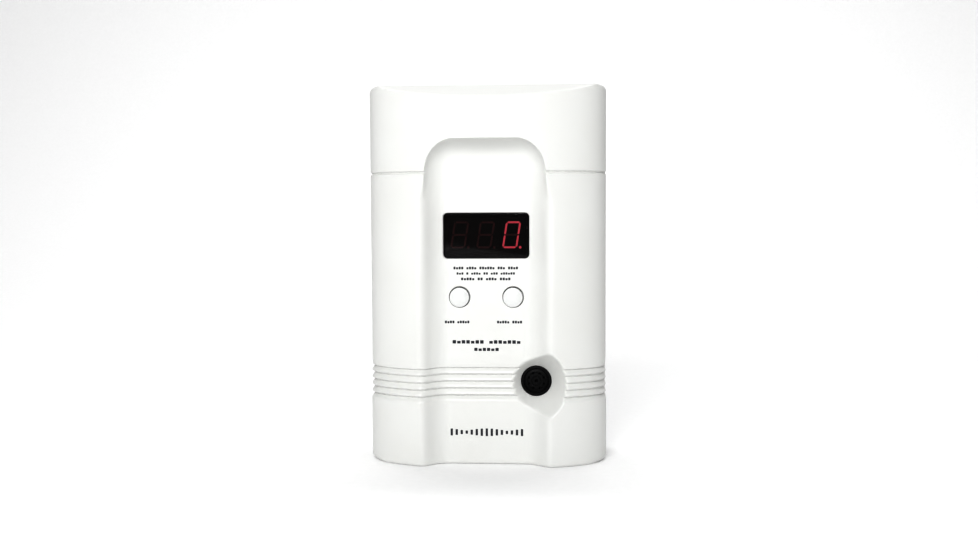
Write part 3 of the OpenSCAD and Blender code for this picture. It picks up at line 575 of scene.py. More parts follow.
class Front:
    """The front of the case as a height field: how deep it stands at each x and z."""

    def __init__(self, case, trim):
        self.case = case
        self.trim = trim
        self.side_d = CASE.d1 - case.bow
        self.dish_d = HORN.d1 + 0.3
        self.rib_foot = case.rib_top - case.rib_pitch * (case.rib_count - 1) - RAMP

    def ribs(self, z):
        """How far the ribs push the surface out at a height. Below each groove the surface
        ramps out as 1 - (1 - w)^1.6 and then drops back into the next groove; above the first
        groove a shoulder curves in, and below the last one the skirt stands proud."""
        case = self.case
        below = case.rib_top - z
        turn = np.clip(np.floor(below / case.rib_pitch), 0, case.rib_count - 1)
        v = below - turn * case.rib_pitch
        last = turn == case.rib_count - 1
        crest = np.where(last, case.skirt, 0.08)
        ramp = -case.groove + (case.groove + crest) * (1 - (1 - np.clip(v / RAMP, 0, 1)) ** 1.6)
        fall = smooth((v - RAMP) / (case.rib_pitch - RAMP))
        ramp = np.where(last, ramp, ramp * (1 - fall) - case.groove * fall)
        shoulder = SHOULDER * np.clip(1 - (z - case.rib_top) / 3.4, 0, 1) ** 2
        lip = (case.groove - SHOULDER) * smooth(1 - (z - case.rib_top) / 0.45)
        return np.where(below >= 0, ramp, -shoulder - lip)

    def facing(self, x):
        """How the bow faces at x: across, forward, and how far it counts as flank. The normal
        of the ellipse is (x / w^2, sqrt(1 - (x / w)^2) / bow)."""
        across = x / HALF_W ** 2
        forward = np.sqrt(np.maximum(1 - (x / HALF_W) ** 2, 0)) / self.case.bow
        size = np.hypot(across, forward)
        return across / size, forward / size, smooth((np.abs(x) - 31) / 4)

    def cap_line(self, z):
        """Depth of the V-shaped line round the cap at a height."""
        away = np.abs(z - (TOP - self.case.cap_drop))
        return 0.75 * np.clip(1 - away / 0.6, 0, 1) ** 0.8

    def floor(self, z):
        """Depth of the panel's floor at a height, leaning forward below the ribs."""
        return FLOOR_D + self.case.toe * np.clip((self.rib_foot - z) / self.rib_foot, 0, 1)

    def inside_arch(self, x, z):
        """How far a place lies inside the panel's arch."""
        case = self.case
        across = np.abs(x) - (case.panel_half - case.arch_radius)
        top = TOP - case.arch_drop
        up = z - (top - case.arch_radius)
        turn = np.hypot(across, up)
        corner = (across > 0) & (up > 0)
        side_in = case.panel_half - np.abs(x)
        crown_in = top - z
        return np.where(corner, case.arch_radius - turn, np.minimum(side_in, crown_in))

    def depth(self, x, z, lines=True):
        """Depth of the front at x and z: the bow, met by the sloping top, by the horn's funnel
        and by the panel, whose crown is a cove r - sqrt(r^2 - (r - inside)^2) that passes into
        straight banks down its sides."""
        case = self.case
        wing = self.side_d + case.bow * np.sqrt(np.maximum(1 - (x / HALF_W) ** 2, 0))
        push = 0.0
        if lines:
            push = self.ribs(z)
            _, forward, flank = self.facing(x)
            share = forward * flank + (1 - flank) / np.maximum(forward, 0.3)
            wing = wing + (push - self.cap_line(z)) * share
        inside = self.inside_arch(x, z)
        crown = smooth((z - TOP + case.arch_drop + CROWN_REACH) / CROWN_FADE)
        cove = CASE.d1 - FLOOR_D
        near = np.clip(cove - inside, 0, cove)
        rise = cove - np.sqrt(cove ** 2 - near ** 2) + OUTSIDE_SLOPE * np.clip(-inside, 0, None)
        bank = -soft_min(0.0, case.bank * (inside - case.bank_foot), BANK_BLEND)
        panel = self.floor(z) + push + rise * crown + bank * (1 - crown)
        slope = CASE.d1 + (TOP - case.top_drop - z) * case.top_run / case.top_drop
        away = np.hypot(x - HORN.x, z - HORN.z)
        funnel = self.dish_d + (away - self.trim.horn_hole) / self.trim.flare
        deep = soft_min(wing, panel, CROWN_EDGE + BANK_EDGE * (1 - crown))
        deep = soft_min(deep, slope, TOP_BLEND)
        return soft_min(deep, np.maximum(funnel, self.dish_d - 1), HORN_BLEND)

    def eroded(self, x, z, wall):
        """Depth of the inner face, a wall behind the outer one: the least over a disc of
        shifts of depth(x + dx, z + dz) - sqrt(wall^2 - dx^2 - dz^2)."""
        low = self.depth(x, z, False) - wall - 0.3
        for share in (0.5, 0.85, 1.0):
            for a in np.arange(0, 2 * math.pi, math.pi / 6):
                moved = self.depth(x + wall * share * math.cos(a), z + wall * share * math.sin(a),
                                   False)
                low = np.minimum(low, moved - wall * math.sqrt(1 - share ** 2))
        return low

    def places(self):
        """Columns and rows of the outer grid, close together where the shape turns sharply."""
        case = self.case
        left = spread((0.0, 10.0, 0.8), (10.0, 22.5, 0.32), (22.5, 23.5, 0.14), (23.5, 25.0, 0.32))
        right = spread((0.0, 7.5, 0.8), (7.5, 22.5, 0.3), (22.5, 23.5, 0.14), (23.5, 33.5, 0.3))

        def wing(start, count):
            """Columns from a start out to the edge, at even steps of the ellipse's angle."""
            return HALF_W * np.cos(np.linspace(math.acos(start / HALF_W), 0, count))[1:]

        columns = np.concatenate([-wing(25.0, 40)[::-1], -left[::-1][:-1], right, wing(33.5, 30)])
        curve = 1 - np.cos(np.linspace(0, math.pi / 2, 7))
        cap = TOP - case.cap_drop
        pitch = case.rib_pitch / 12
        ribs = case.rib_top - case.rib_pitch * case.rib_count
        arch = TOP - case.arch_drop + 1.2
        rows = np.concatenate([
            case.corner * curve, spread((case.corner + 0.9, 17.0, 0.9), (17.0, ribs, 0.35))[:-1],
            np.arange(ribs, case.rib_top + 3.6, pitch),
            spread((case.rib_top + 3.8, 46.0, 0.35), (46.0, cap - 1.0, 1.1),
                   (cap - 1.0, cap + 1.0, 0.125), (cap + 1.0, arch, 0.3), (arch, 139.6, 0.9),
                   (139.6, TOP - case.corner, 0.22))[:-1],
            TOP - case.corner * curve[::-1]])
        return columns, rows

    def grid(self, columns, rows, inset=0.0):
        """X, Z and depth over the columns and rows. The ribs and the cap line push sideways as
        much as the flank faces sideways, the four corners are rounded by drawing the outer
        columns in, and the rim is rounded by drawing the depth back."""
        case = self.case
        half = HALF_W - inset
        x, z = np.meshgrid(columns * half / HALF_W, rows)
        if inset:
            deep = self.eroded(x, z, inset)
            radius = max(case.corner - inset, 0.3)
            rim = 0.0
        else:
            deep = self.depth(x, z)
            radius = case.corner
            rim = case.edge
            across, _, flank = self.facing(x)
            x = x + flank * across * (self.ribs(z) - self.cap_line(z))
        gap = np.minimum(z - inset, TOP - inset - z)
        turn = radius - np.sqrt(np.maximum(radius ** 2 - np.clip(radius - gap, 0, None) ** 2, 0))
        x = x - np.sign(x) * turn * smooth((np.abs(x) / half - 0.86) / 0.14)
        if rim:
            deep = deep - rim + np.sqrt(np.maximum(rim ** 2 - np.clip(rim - gap, 0, None) ** 2, 0))
        return x, z, deep


def relief(name, x, z, deep, back, levels=6, seam=0.25):
    """A closed solid from a height field: its grid in front, walls from the grid's rim straight
    back to a depth, and a flat back whose edge is rounded by the seam width."""
    rows, columns = x.shape
    number = np.arange(rows * columns).reshape(rows, columns)
    faces = np.stack([number[:-1, :-1], number[:-1, 1:], number[1:, 1:], number[1:, :-1]],
                     -1).reshape(-1, 4).tolist()
    rim = np.concatenate([number[0, :-1], number[:-1, -1], number[-1, :0:-1], number[:0:-1, 0]])
    front = np.column_stack([x.ravel(), deep.ravel(), z.ravel()])
    edge = front[rim]
    shares = np.linspace(0, 1, levels + 1)[1:]
    rings = [np.column_stack([edge[:, 0], edge[:, 1] + (back + seam - edge[:, 1]) * s, edge[:, 2]])
             for s in shares]
    middle = (z.min() + z.max()) / 2
    for a in np.linspace(0, math.pi / 2, 4)[1:]:
        tuck = seam * (1 - math.cos(a))
        rings.append(np.column_stack([
            edge[:, 0] * (1 - tuck / HALF_W), np.full(len(edge), back + seam * (1 - math.sin(a))),
            middle + (edge[:, 2] - middle) * (1 - tuck / (TOP / 2))]))
    points = np.concatenate([front] + rings)
    around = len(rim)
    start = len(front)
    last = rim
    j = np.arange(around)
    for _ in rings:
        here = start + j
        faces += np.stack([last, here, np.roll(here, -1), np.roll(last, -1)], -1).tolist()
        last = here
        start += around
    return solid(name, points, faces + [tuple(last[::-1])])


def button_centres():
    """Places of the two buttons, from the CAD's own."""
    return [(name, reach(name)) for name in ("test_button", "peak_button")]


def window_hole(steps):
    """Outline of the window's opening."""
    return rounded(WINDOW.x0 + LENS_LIP, WINDOW.x1 - LENS_LIP, WINDOW.z0 + LENS_LIP,
                   WINDOW.z1 - LENS_LIP, 1.7, steps)


class FrontCoverOperator(bpy.types.Operator):
    """Deep bowed front shell with its arched panel, ribs, horn funnel and openings"""
    bl_idname = "detector.front_cover"
    bl_label = "Front cover"

    def execute(self, context):
        case = context.scene.detector_case
        trim = context.scene.detector_trim
        front = Front(case, trim)
        columns, rows = front.places()
        shell = relief("front_shell", *front.grid(columns, rows), CASE.d0)
        inner_columns = HALF_W * np.cos(np.linspace(math.pi, 0, 90))
        inner_rows = np.linspace(WALL, TOP - WALL, 120)
        cavity = relief("cavity", *front.grid(inner_columns, inner_rows, WALL), CASE.d0 - 2)
        inner_d = FLOOR_D - WALL - 1.5
        cutters = [cavity, stack("hole", window_hole(6), flared(FLOOR_D, inner_d, 0.35))]
        for _, part in button_centres():
            radius = part.x1 - part.x - BUTTON_FLANGE + RUN_GAP
            cutters.append(stack("hole", circle(part.x, part.z),
                                 flared(FLOOR_D, inner_d, 0.3, grow=radius)))
        cutters.append(stack("hole", circle(HORN.x, HORN.z, 64),
                             flared(front.dish_d - 0.15, front.dish_d - WALL - 2, 0.25,
                                    grow=trim.horn_hole)))
        combine(shell, cutters)
        finish = moulded("white_abs_front", tuple(case.plastic), warmth=0.006)
        fit(shell, "case", finish, ["front_cover"], crease=38)
        return {"FINISHED"}


# ---------------------------------------------------------------- rear shell

def around(part, grow, corner, steps=4):
    """Rounded outline round a part's sides, a gap away from them."""
    return rounded(part.x0 - grow, part.x1 + grow, part.z0 - grow, part.z1 + grow, corner, steps)


def box_cutter(part, grow, face, deep, corner=0.8, lip=0.5):
    """A pocket cutter round a part's sides, entering from the back of the case."""
    return stack("pocket", around(part, grow, corner), flared(face, deep, lip))


def wall_block(part, grow, deep):
    """The block of wall that a pocket is cut from."""
    return stack("block", around(part, grow, 1.2), rolled(0.6, deep, 0.1, 0.4))


class RearCoverOperator(bpy.types.Operator):
    """Rear shell with the adapter dock, cord well, battery bay, keyholes, vents and screw wells"""
    bl_idname = "detector.rear_cover"
    bl_label = "Rear cover"

    def execute(self, context):
        case = context.scene.detector_case
        rear_d = CASE.d0
        outer = rounded(-HALF_W, HALF_W, 0, TOP, case.corner, 6)
        shell = stack("rear_shell", outer, rolled(0, rear_d, case.edge, 0.25))
        cavity = stack("cavity", rounded(-HALF_W + WALL, HALF_W - WALL, WALL, TOP - WALL, 1, 3),
                       [(WALL, 0), (rear_d + 1, 0)])
        combine(shell, [cavity])
        dock_d = DOCK.d1 + DOCK_GAP
        well = SimpleNamespace(x0=DOCK.x0 - DOCK_GAP, x1=DOCK.x1 + DOCK_GAP,
                               z0=DOCK.z0 - DOCK_GAP - WELL_H, z1=DOCK.z0 - DOCK_GAP + 1)
        battery = reach("battery")
        bay = SimpleNamespace(x0=battery.x0 - BAY_GAP, x1=battery.x1 + BAY_GAP,
                              z0=DOOR.z0 - RUN_GAP, z1=DOOR.z1 + RUN_GAP)
        bay_d = battery.d1 + RUN_GAP

        combine(shell, [wall_block(DOCK, WALL + DOCK_GAP, dock_d + WALL),
                        wall_block(well, WALL, WELL_D + WALL),
                        wall_block(bay, BAY_WALL, bay_d + BAY_FLOOR)], "UNION")
        bosses = [stack("boss", circle(x, z, 32), rolled(0.6, rear_d, 0.1, 0.2, grow=4.2))
                  for x, z in CORNERS]
        combine(shell, bosses, "UNION")
        cutters = [box_cutter(DOCK, DOCK_GAP, 0, dock_d), box_cutter(well, 0, 0, WELL_D, 0.6),
                   box_cutter(bay, 0, 0, bay_d, 0.5, 0.35)]
        for x, z in CORNERS:
            cutters.append(stack("well", circle(x, z, 40), flared(0, rear_d - 5, 0.4, grow=3.0)))
            cutters.append(stack("bore", circle(x, z, 24), [(rear_d - 6, 1.6), (rear_d + 2, 1.6)]))
        through = WALL + 0.5
        keyhole_z = DOCK.z + 3
        keyhole_x = (DOCK.x1 + DOCK_GAP + WALL + HALF_W - WALL) / 2
        for sx in (-1, 1):
            x = sx * keyhole_x
            cutters.append(stack("keyhole", circle(x, keyhole_z, 40), flared(0, through, 0.4, grow=4.2)))
            slot = rounded(x - 2, x + 2, keyhole_z, keyhole_z + 9, 1.98, 8)
            cutters.append(stack("keyhole", slot, flared(0, through, 0.4)))
        sensor = reach("co_sensor")
        for i in range(-2, 3):
            z = sensor.z + 4 * i
            slot = rounded(sensor.x - 10, sensor.x + 10, z - 1, z + 1, 0.95, 6)
            cutters.append(stack("vent", slot, flared(0, through, 0.3)))
        label = reach("rating_label")
        cutters.append(stack("recess", around(label, 0.15, 0.8, 4), [(-2, 0), (label.d1, 0)]))
        inlet = around(reach("power_inlet"), RUN_GAP, 0.4, 3)
        cutters.append(stack("inlet", inlet, flared(WELL_D, WELL_D + WALL + 1, 0.2, 0.5)))
        combine(shell, cutters)
        finish = moulded("white_abs_rear", shade(case.plastic, 0.985), roughness=0.48, relief=0.02)
        fit(shell, "case", finish, ["rear_cover"])
        return {"FINISHED"}


class BatteryDoorOperator(bpy.types.Operator):
    """Battery door with its hinge barrel, finger notch and grip ridges"""
    bl_idname = "detector.battery_door"
    bl_label = "Battery door"

    def execute(self, context):
        case = context.scene.detector_case
        hinge = next(j for j in frame["joints"] if j["child"] == "battery_door")
        hinge_z = hinge["pos_m"][2] / MM
        hinge_d = BACK - hinge["pos_m"][1] / MM
        x0 = reach("battery").x0 - BAY_GAP + RUN_GAP
        x1 = reach("battery").x1 + BAY_GAP - RUN_GAP
        flap = stack("battery_flap", rounded(x0, x1, DOOR.z0, hinge_z + 0.4, 0.8, 5),
                     rolled(0, 1.8, 0.35, 0.2))
        barrel = stack("barrel", circle(hinge_d, hinge_z, 32),
                       rolled(x0, x1, 0.25, 0.25, grow=2.2), "x")
        stub = stack("stub", circle(hinge_d, hinge_z, 20),
                     rolled(DOOR.x0, DOOR.x1, 0.2, 0.2, grow=1.2), "x")
        combine(flap, [barrel, stub], "UNION")
        middle = (x0 + x1) / 2
        notch = stack("notch", rounded(middle - 6, middle + 6, DOOR.z0 - 3, DOOR.z0 + 2.4, 1.6, 6),
                      flared(0, 1.2, 0.3))
        ridges = [stack("ridge", rounded(middle - 7 + i, middle + 7 - i, DOOR.z0 + 6 + 2 * i,
                                         DOOR.z0 + 7 + 2 * i, 0.48, 5), flared(0, 0.5, 0.12))
                  for i in range(5)]
        combine(flap, [notch] + ridges)
        finish = moulded("white_abs_door", shade(case.plastic, 0.97), roughness=0.45, relief=0.018)
        fit(flap, "battery_door", finish, ["battery_door"])
        return {"FINISHED"}


# ---------------------------------------------------------------- display, buttons and horn

class WindowOperator(bpy.types.Operator):
    """Smoked lens over the display"""
    bl_idname = "detector.window"
    bl_label = "Display window"

    def execute(self, context):
        display = context.scene.detector_display
        lens = stack("window_lens", window_hole(8),
                     [(WINDOW.d1 - 2.0, LENS_LIP), (WINDOW.d1 - 1.0 - 1.2, LENS_LIP)]
                     + rolled(WINDOW.d1 - 2.19, WINDOW.d1, 0.01, 0.25, grow=-0.15)[1:])
        fit(lens, "case", lens_finish(tuple(display.lens)), ["display_window"])
        block = reach("led_display")
        face = stack("display_face", rounded(block.x0, block.x1, block.z0, block.z1, 0.6, 4),
                     rolled(block.d0, block.d1 - 0.25, 0.2, 0.3))
        finish = moulded("display_black", (0.012, 0.010, 0.011), roughness=0.55, grain=0.5)
        fit(face, "case", finish, ["led_display"])
        return {"FINISHED"}


def segment(x, z, length_along, thick, upright, lean, depth, digit_z):
    """One segment: a bar with pointed ends and a crowned face, sheared by the lean of the
    digit: x + (z - digit_z) tan(lean)."""
    half, t = length_along / 2, thick / 2
    tip = t * 0.92
    corners = np.array([[-half, 0], [-half + tip, -t], [half - tip, -t], [half, 0],
                        [half - tip, t], [-half + tip, t]])
    if upright:
        corners = corners[:, ::-1]

    def outline(grow):
        size = 1 + grow / t
        px = x + corners[:, 0] * (1 + grow / half if not upright else size)
        pz = z + corners[:, 1] * (size if not upright else 1 + grow / half)
        return np.column_stack([px + (pz - digit_z) * math.tan(lean), pz])
    return stack("segment", outline, [(depth - 0.8, 0), (depth - 0.12, 0), (depth, -0.14)])


class DigitsOperator(bpy.types.Operator):
    """Three seven-segment digits; the last one shows a lit zero and its point"""
    bl_idname = "detector.digits"
    bl_label = "Digits"

    def execute(self, context):
        display = context.scene.detector_display
        lit = segment_finish("segment_lit", tuple(display.lit), display.glow)
        unlit = segment_finish("segment_unlit", tuple(display.unlit), 0.0)
        across = display.digit_width - display.bar
        up = (display.digit_height - display.bar) / 2
        face = reach("digit_units").d1
        bars = [(0, up, False), (0, -up, False), (-across / 2, up / 2, True),
                (across / 2, up / 2, True), (-across / 2, -up / 2, True),
                (across / 2, -up / 2, True), (0, 0, False)]
        digit_z = reach("digit_units").z + 0.25
        for node in ("digit_hundreds", "digit_tens", "digit_units"):
            part = reach(node)
            on = node == "digit_units"
            x = part.x - 0.5
            made = [segment(x + bx, digit_z + bz, (up if tall else across) - 0.25, display.bar, tall,
                            display.slant, face, digit_z) for bx, bz, tall in bars]
            dot_x = x + display.digit_width / 2 + 1.1 - up * math.tan(display.slant)
            dot = stack("dot", circle(dot_x, digit_z - up, 20),
                        [(face - 0.8, 0.55), (face - 0.12, 0.55), (face, 0.42)])
            bright = merge(node.replace("digit", "numeral"), made[:6] + [dot])
            fit(bright, "case", lit if on else unlit, [node])
            middle = merge(node.replace("digit", "middle_bar"), made[6:])
            fit(middle, "case", unlit, [])
        return {"FINISHED"}


class ButtonsOperator(bpy.types.Operator):
    """Two domed push buttons with rounded rims"""
    bl_idname = "detector.buttons"
    bl_label = "Buttons"

    def execute(self, context):
        trim = context.scene.detector_trim
        finish = moulded("button_abs", tuple(trim.button), roughness=0.34, grain=0.25, relief=0.006,
                         mottle=0.015)
        for name, part in button_centres():
            radius = part.x1 - part.x - BUTTON_FLANGE
            rim = 0.45
            share = np.linspace(0, 1, 9)[:-1]
            crown_r = (radius - rim) * (1 - share)
            crown_d = part.d1 - trim.dome + np.sqrt(trim.dome ** 2 - crown_r ** 2)
            edge = [(crown_d[0] - rim * (1 - math.cos(a)), radius - rim + rim * math.sin(a))
                    for a in np.linspace(math.pi / 2, 0, 6)[:-1]]
            steps = ([(part.d0, radius + BUTTON_FLANGE), (part.d0 + 1, radius + BUTTON_FLANGE),
                      (part.d0 + 1.01, radius)] + edge + list(zip(crown_d, crown_r))
                     + [(part.d1, 0.15)])
            outline = circle(part.x - 0.15, part.z - 0.17, 64)
            cap = stack(name.replace("button", "button_cap"), outline, steps)
            fit(cap, name, finish, [name], crease=45)
        return {"FINISHED"}


class HornOperator(bpy.types.Operator):
    """Black horn with a rimmed snout, ring grooves and a pierced grille"""
    bl_idname = "detector.horn"
    bl_label = "Horn"

    def execute(self, context):
        trim = context.scene.detector_trim
        snout = trim.horn_hole - 0.15
        face = HORN.d1
        seat = face - 2.1
        profile = [(HORN.d0, HORN.x1 - HORN.x), (seat, HORN.x1 - HORN.x), (seat + 0.02, snout),
                   (face - 0.2, snout), (face - 0.05, snout - 0.08), (face, snout - 0.25),
                   (face, snout - 0.75), (face - 0.12, snout - 0.92), (face - 0.9, snout - 1.15),
                   (face - 1.05, snout - 1.35), (face - 0.85, snout - 2.0), (face - 0.8, snout - 2.3),
                   (face - 1.1, snout - 2.4), (face - 1.1, snout - 2.75), (face - 0.78, snout - 2.85),
                   (face - 0.7, snout - 3.6), (face - 0.7, snout - 3.9), (face - 0.98, snout - 4.0),
                   (face - 0.98, snout - 4.3), (face - 0.68, snout - 4.4), (face - 0.64, 0.3)]
        body = stack("horn_body", circle(HORN.x, HORN.z, 72), profile)
        holes = []
        bottom = face - 2.4
        for k in range(8):
            a = (k + 0.5) * math.pi / 4
            place = circle(HORN.x + 3.1 * math.cos(a), HORN.z + 3.1 * math.sin(a), 20)
            holes.append(stack("hole", place, flared(face - 0.72, bottom, 0.08, 1.0, grow=0.42)))
        holes.append(stack("hole", circle(HORN.x, HORN.z, 20),
                           flared(face - 0.64, bottom, 0.1, grow=0.6)))
        combine(body, holes)
        finish = moulded("horn_black", tuple(trim.horn), roughness=0.5, grain=0.4, specular=0.25)
        fit(body, "case", finish, ["horn_housing"], crease=28)
        return {"FINISHED"}


# ---------------------------------------------------------------- printing and labels

def ink_blocks(name, boxes, face, proud=0.03):
    """Thin printed blocks that follow a surface: each box (x0, x1, z0, z1) becomes a six-sided
    pad from just under face(x, z) to just above it."""
    box = np.array(boxes, float)
    corner_x = box[:, [0, 1, 1, 0]]
    corner_z = box[:, [2, 2, 3, 3]]
    under = face(corner_x, corner_z) - 0.05
    over = face(corner_x, corner_z) + proud
    low = np.stack([corner_x, under, corner_z], -1)
    high = np.stack([corner_x, over, corner_z], -1)
    points = np.concatenate([low, high], 1).reshape(-1, 3)
    pattern = np.array([[0, 1, 2, 3], [7, 6, 5, 4], [0, 4, 5, 1],
                        [1, 5, 6, 2], [2, 6, 7, 3], [3, 7, 4, 0]])
    faces = (np.arange(len(box))[:, None, None] * 8 + pattern[None]).reshape(-1, 4)
    return solid(name, points, faces.tolist())


def word_line(x, z, width, height, words):
    """A line of plain blocks that stands for print: words are block counts, and a gap of one
    block parts them. Every third block is lower, so that the line has the rhythm of print."""
    cells = sum(words) + len(words) - 1
    pitch = width / cells
    boxes, at, count = [], x - width / 2, 0
    for word in words:
        for _ in range(word):
            tall = height * (0.78 if count % 3 == 1 else 1.0)
            boxes.append((at + pitch * 0.12, at + pitch * 0.84, z - height / 2, z - height / 2 + tall))
            at += pitch
            count += 1
        at += pitch
    return boxes


class PrintingOperator(bpy.types.Operator):
    """Plain printed blocks where the front carries its legends, and a row of sound bars"""
    bl_idname = "detector.printing"
    bl_label = "Printing"

    def execute(self, context):
        case = context.scene.detector_case
        front = Front(case, context.scene.detector_trim)
        boxes = [box for line in LEGENDS for box in word_line(*line)]
        ink = moulded("ink", tuple(case.ink), roughness=0.5, relief=0.002, mottle=0.1)
        fit(ink_blocks("legend_print", boxes, front.depth), "case", ink)
        mark_z, mark_half, bar_half, count = 12.4, 13.6, 0.42, 15
        tall = 1.45 * (0.35 + 0.65 * np.abs(np.cos(np.linspace(-2.6, 2.6, count))))
        middles = np.linspace(-mark_half, mark_half, count)
        bars = [(x - bar_half, x + bar_half, mark_z - t, mark_z + t) for x, t in zip(middles, tall)]
        fit(ink_blocks("sound_mark", bars, front.depth), "case", ink)
        label = reach("rating_label")
        plate = stack("rating_plate", rounded(label.x0, label.x1, label.z0, label.z1, 0.8, 5),
                      [(label.d1, 0), (label.d0, 0)])
        foil = metal("label_foil", (0.72, 0.73, 0.73), 0.38, (1, 1, 9), 0.002)
        fit(plate, "case", foil, ["rating_label"])
        lines = []
        for i, words in enumerate(LABEL_LINES):
            lines += word_line(label.x, label.z1 - 4 - 3.1 * i, 22 - 2 * (i % 3), 1.2, words)
        ticks = np.linspace(label.x0 + 4, label.x1 - 4, 24)
        lines += [(x, x + (0.3 if i % 3 else 0.6), label.z0 + 3, label.z0 + 8)
                  for i, x in enumerate(ticks)]

        def back_face(x, z):
            return np.full(np.shape(z), label.d0 + 0.02)

        fit(ink_blocks("rating_print", lines, back_face, -0.05), "case", ink)
        return {"FINISHED"}


# ---------------------------------------------------------------- adapter and screws

def screw_head(x, z, face, radius, height, shank, tip):
    """A pan head with a cross recess on a shank that runs forward: the face is its outermost
    depth."""
    a = np.linspace(0, math.pi / 2, 7)
    crown = [(face + height * 0.7 * (1 - math.sin(t)), radius * math.cos(t) + 0.02)
             for t in a[::-1]]
    body = [(face + height, radius), (face + (height + 0.02), shank), (tip - 1.2, shank),
            (tip, shank * 0.2)]
    head = stack("screw", circle(x, z, 32), crown + body)
    slots = [stack("slot", rounded(x - w, x + w, z - h, z + h, 0.2, 3),
                   [(face - 1, 0.05), (face + height * 0.55, -0.08)])
             for w, h in ((radius * 0.55, 0.3), (0.3, radius * 0.55))]
    return combine(head, slots)


class AdapterOperator(bpy.types.Operator):
    """Plug-in adapter: hollow case, slotted lid, mains blades, and the screws of both cases"""
    bl_idname = "detector.adapter"
    bl_label = "Adapter"

    def execute(self, context):
        trim = context.scene.detector_trim
        black = moulded("adapter_abs", tuple(trim.adapter), roughness=0.5, grain=0.6, relief=0.03)
        outline = rounded(DOCK.x0, DOCK.x1, DOCK.z0, DOCK.z1, 2.0, 6)
        case = stack("adapter_body", outline, rolled(DOCK.d0, DOCK.d1, 0.25, 1.4))
        inside = stack("inside", rounded(DOCK.x0 + 2, DOCK.x1 - 2, DOCK.z0 + 2, DOCK.z1 - 2, 0.8, 3),
                       [(DOCK.d0 - 1, 0), (DOCK.d1 - 2, 0)])
        combine(case, [inside])
        fit(case, "adapter", black, ["adapter_case"])
        lid = stack("adapter_cover", outline, rolled(0, LID.d1, 0.7, 0.2))
        screws = [(sx * 18.5, z) for sx in (-1, 1) for z in (LID.z0 + 4.5, LID.z1 - 4.5)]
        through = LID.d1 + 1
        cuts = [stack("slot", rounded(x - 0.78, x + 0.78, LID.z - 3.2, LID.z + 3.2, 0.3, 3),
                      flared(0, through, 0.25)) for x in (-BLADE_X, BLADE_X)]
        cuts += [stack("well", circle(x, z, 32), flared(0, 1.7, 0.3, grow=2.4)) for x, z in screws]
        cuts += [stack("bore", circle(x, z, 20), [(1, 1.35), (through, 1.35)]) for x, z in screws]
        frame_line = rounded(LID.x0 + 9, LID.x1 - 9, LID.z0 + 3.2, LID.z0 + 11, 0.8, 4)
        cuts.append(stack("recess", frame_line, flared(0, 0.3, 0.1)))
        combine(lid, cuts)
        fit(lid, "adapter", black, ["adapter_lid"])
        blades = reach("mains_blades")
        pieces = []
        for x in (-BLADE_X, BLADE_X):
            blade = stack("blade", rounded(x - 0.75, x + 0.75, blades.z0, blades.z1, 0.35, 4),
                          [(blades.d0, -0.33), (blades.d0 + 0.5, -0.2), (blades.d0 + 1.4, 0),
                           (blades.d1, 0)])
            eye = stack("eye", circle(blades.d0 + 4, LID.z, 28), [(x - 2, 1.6), (x + 2, 1.6)], "x")
            pieces.append(combine(blade, [eye]))
        nickel = metal("blade_nickel", (0.74, 0.72, 0.67), 0.26, (1, 0.08, 1), 0.003)
        fit(merge("plug_blades", pieces), "adapter", nickel, ["mains_blades"])
        steel = metal("screw_steel", (0.55, 0.55, 0.56), 0.3, (1, 1, 1))
        heads = merge("adapter_screw_heads",
                      [screw_head(x, z, 0.45, 2.05, 1.1, 1.1, 10.6) for x, z in screws])
        fit(heads, "adapter", steel, ["adapter_screws"])
        cased = merge("case_screw_heads",
                      [screw_head(x, z, 9.05, 2.65, 1.9, 1.45, 25) for x, z in CORNERS])
        fit(cased, "case", steel, ["case_screws"])
        return {"FINISHED"}


class BatteryOperator(bpy.types.Operator):
    """Nine volt battery with a rolled jacket and its two snap terminals"""
    bl_idname = "detector.battery"
    bl_label = "Battery"

    def execute(self, context):
        part = reach("battery")
        shoulder = part.z1 - 2.4
        can = stack("nine_volt_can", rounded(part.x0, part.x1, part.d0, part.d1, 2.2, 6),
                    rolled(part.z0, shoulder, 0.7, 0.7), "z")
        small = stack("stud", circle(part.x - TERMINAL_X, part.d, 28),
                      [(shoulder - 0.5, 2.9), (shoulder + 0.8, 2.9), (shoulder + 1.1, 2.7),
                       (part.z1 - 0.3, 2.9), (part.z1, 2.5)], "z")
        large = stack("crown", circle(part.x + TERMINAL_X, part.d, 28),
                      [(shoulder - 0.5, 4.2), (shoulder + 0.6, 4.2), (shoulder + 1.0, 3.9),
                       (part.z1 - 0.3, 4.2), (part.z1, 3.8)], "z")
        combine(can, [small, large], "UNION")
        fit(can, "case", jacket_finish(), ["battery"])
        return {"FINISHED"}


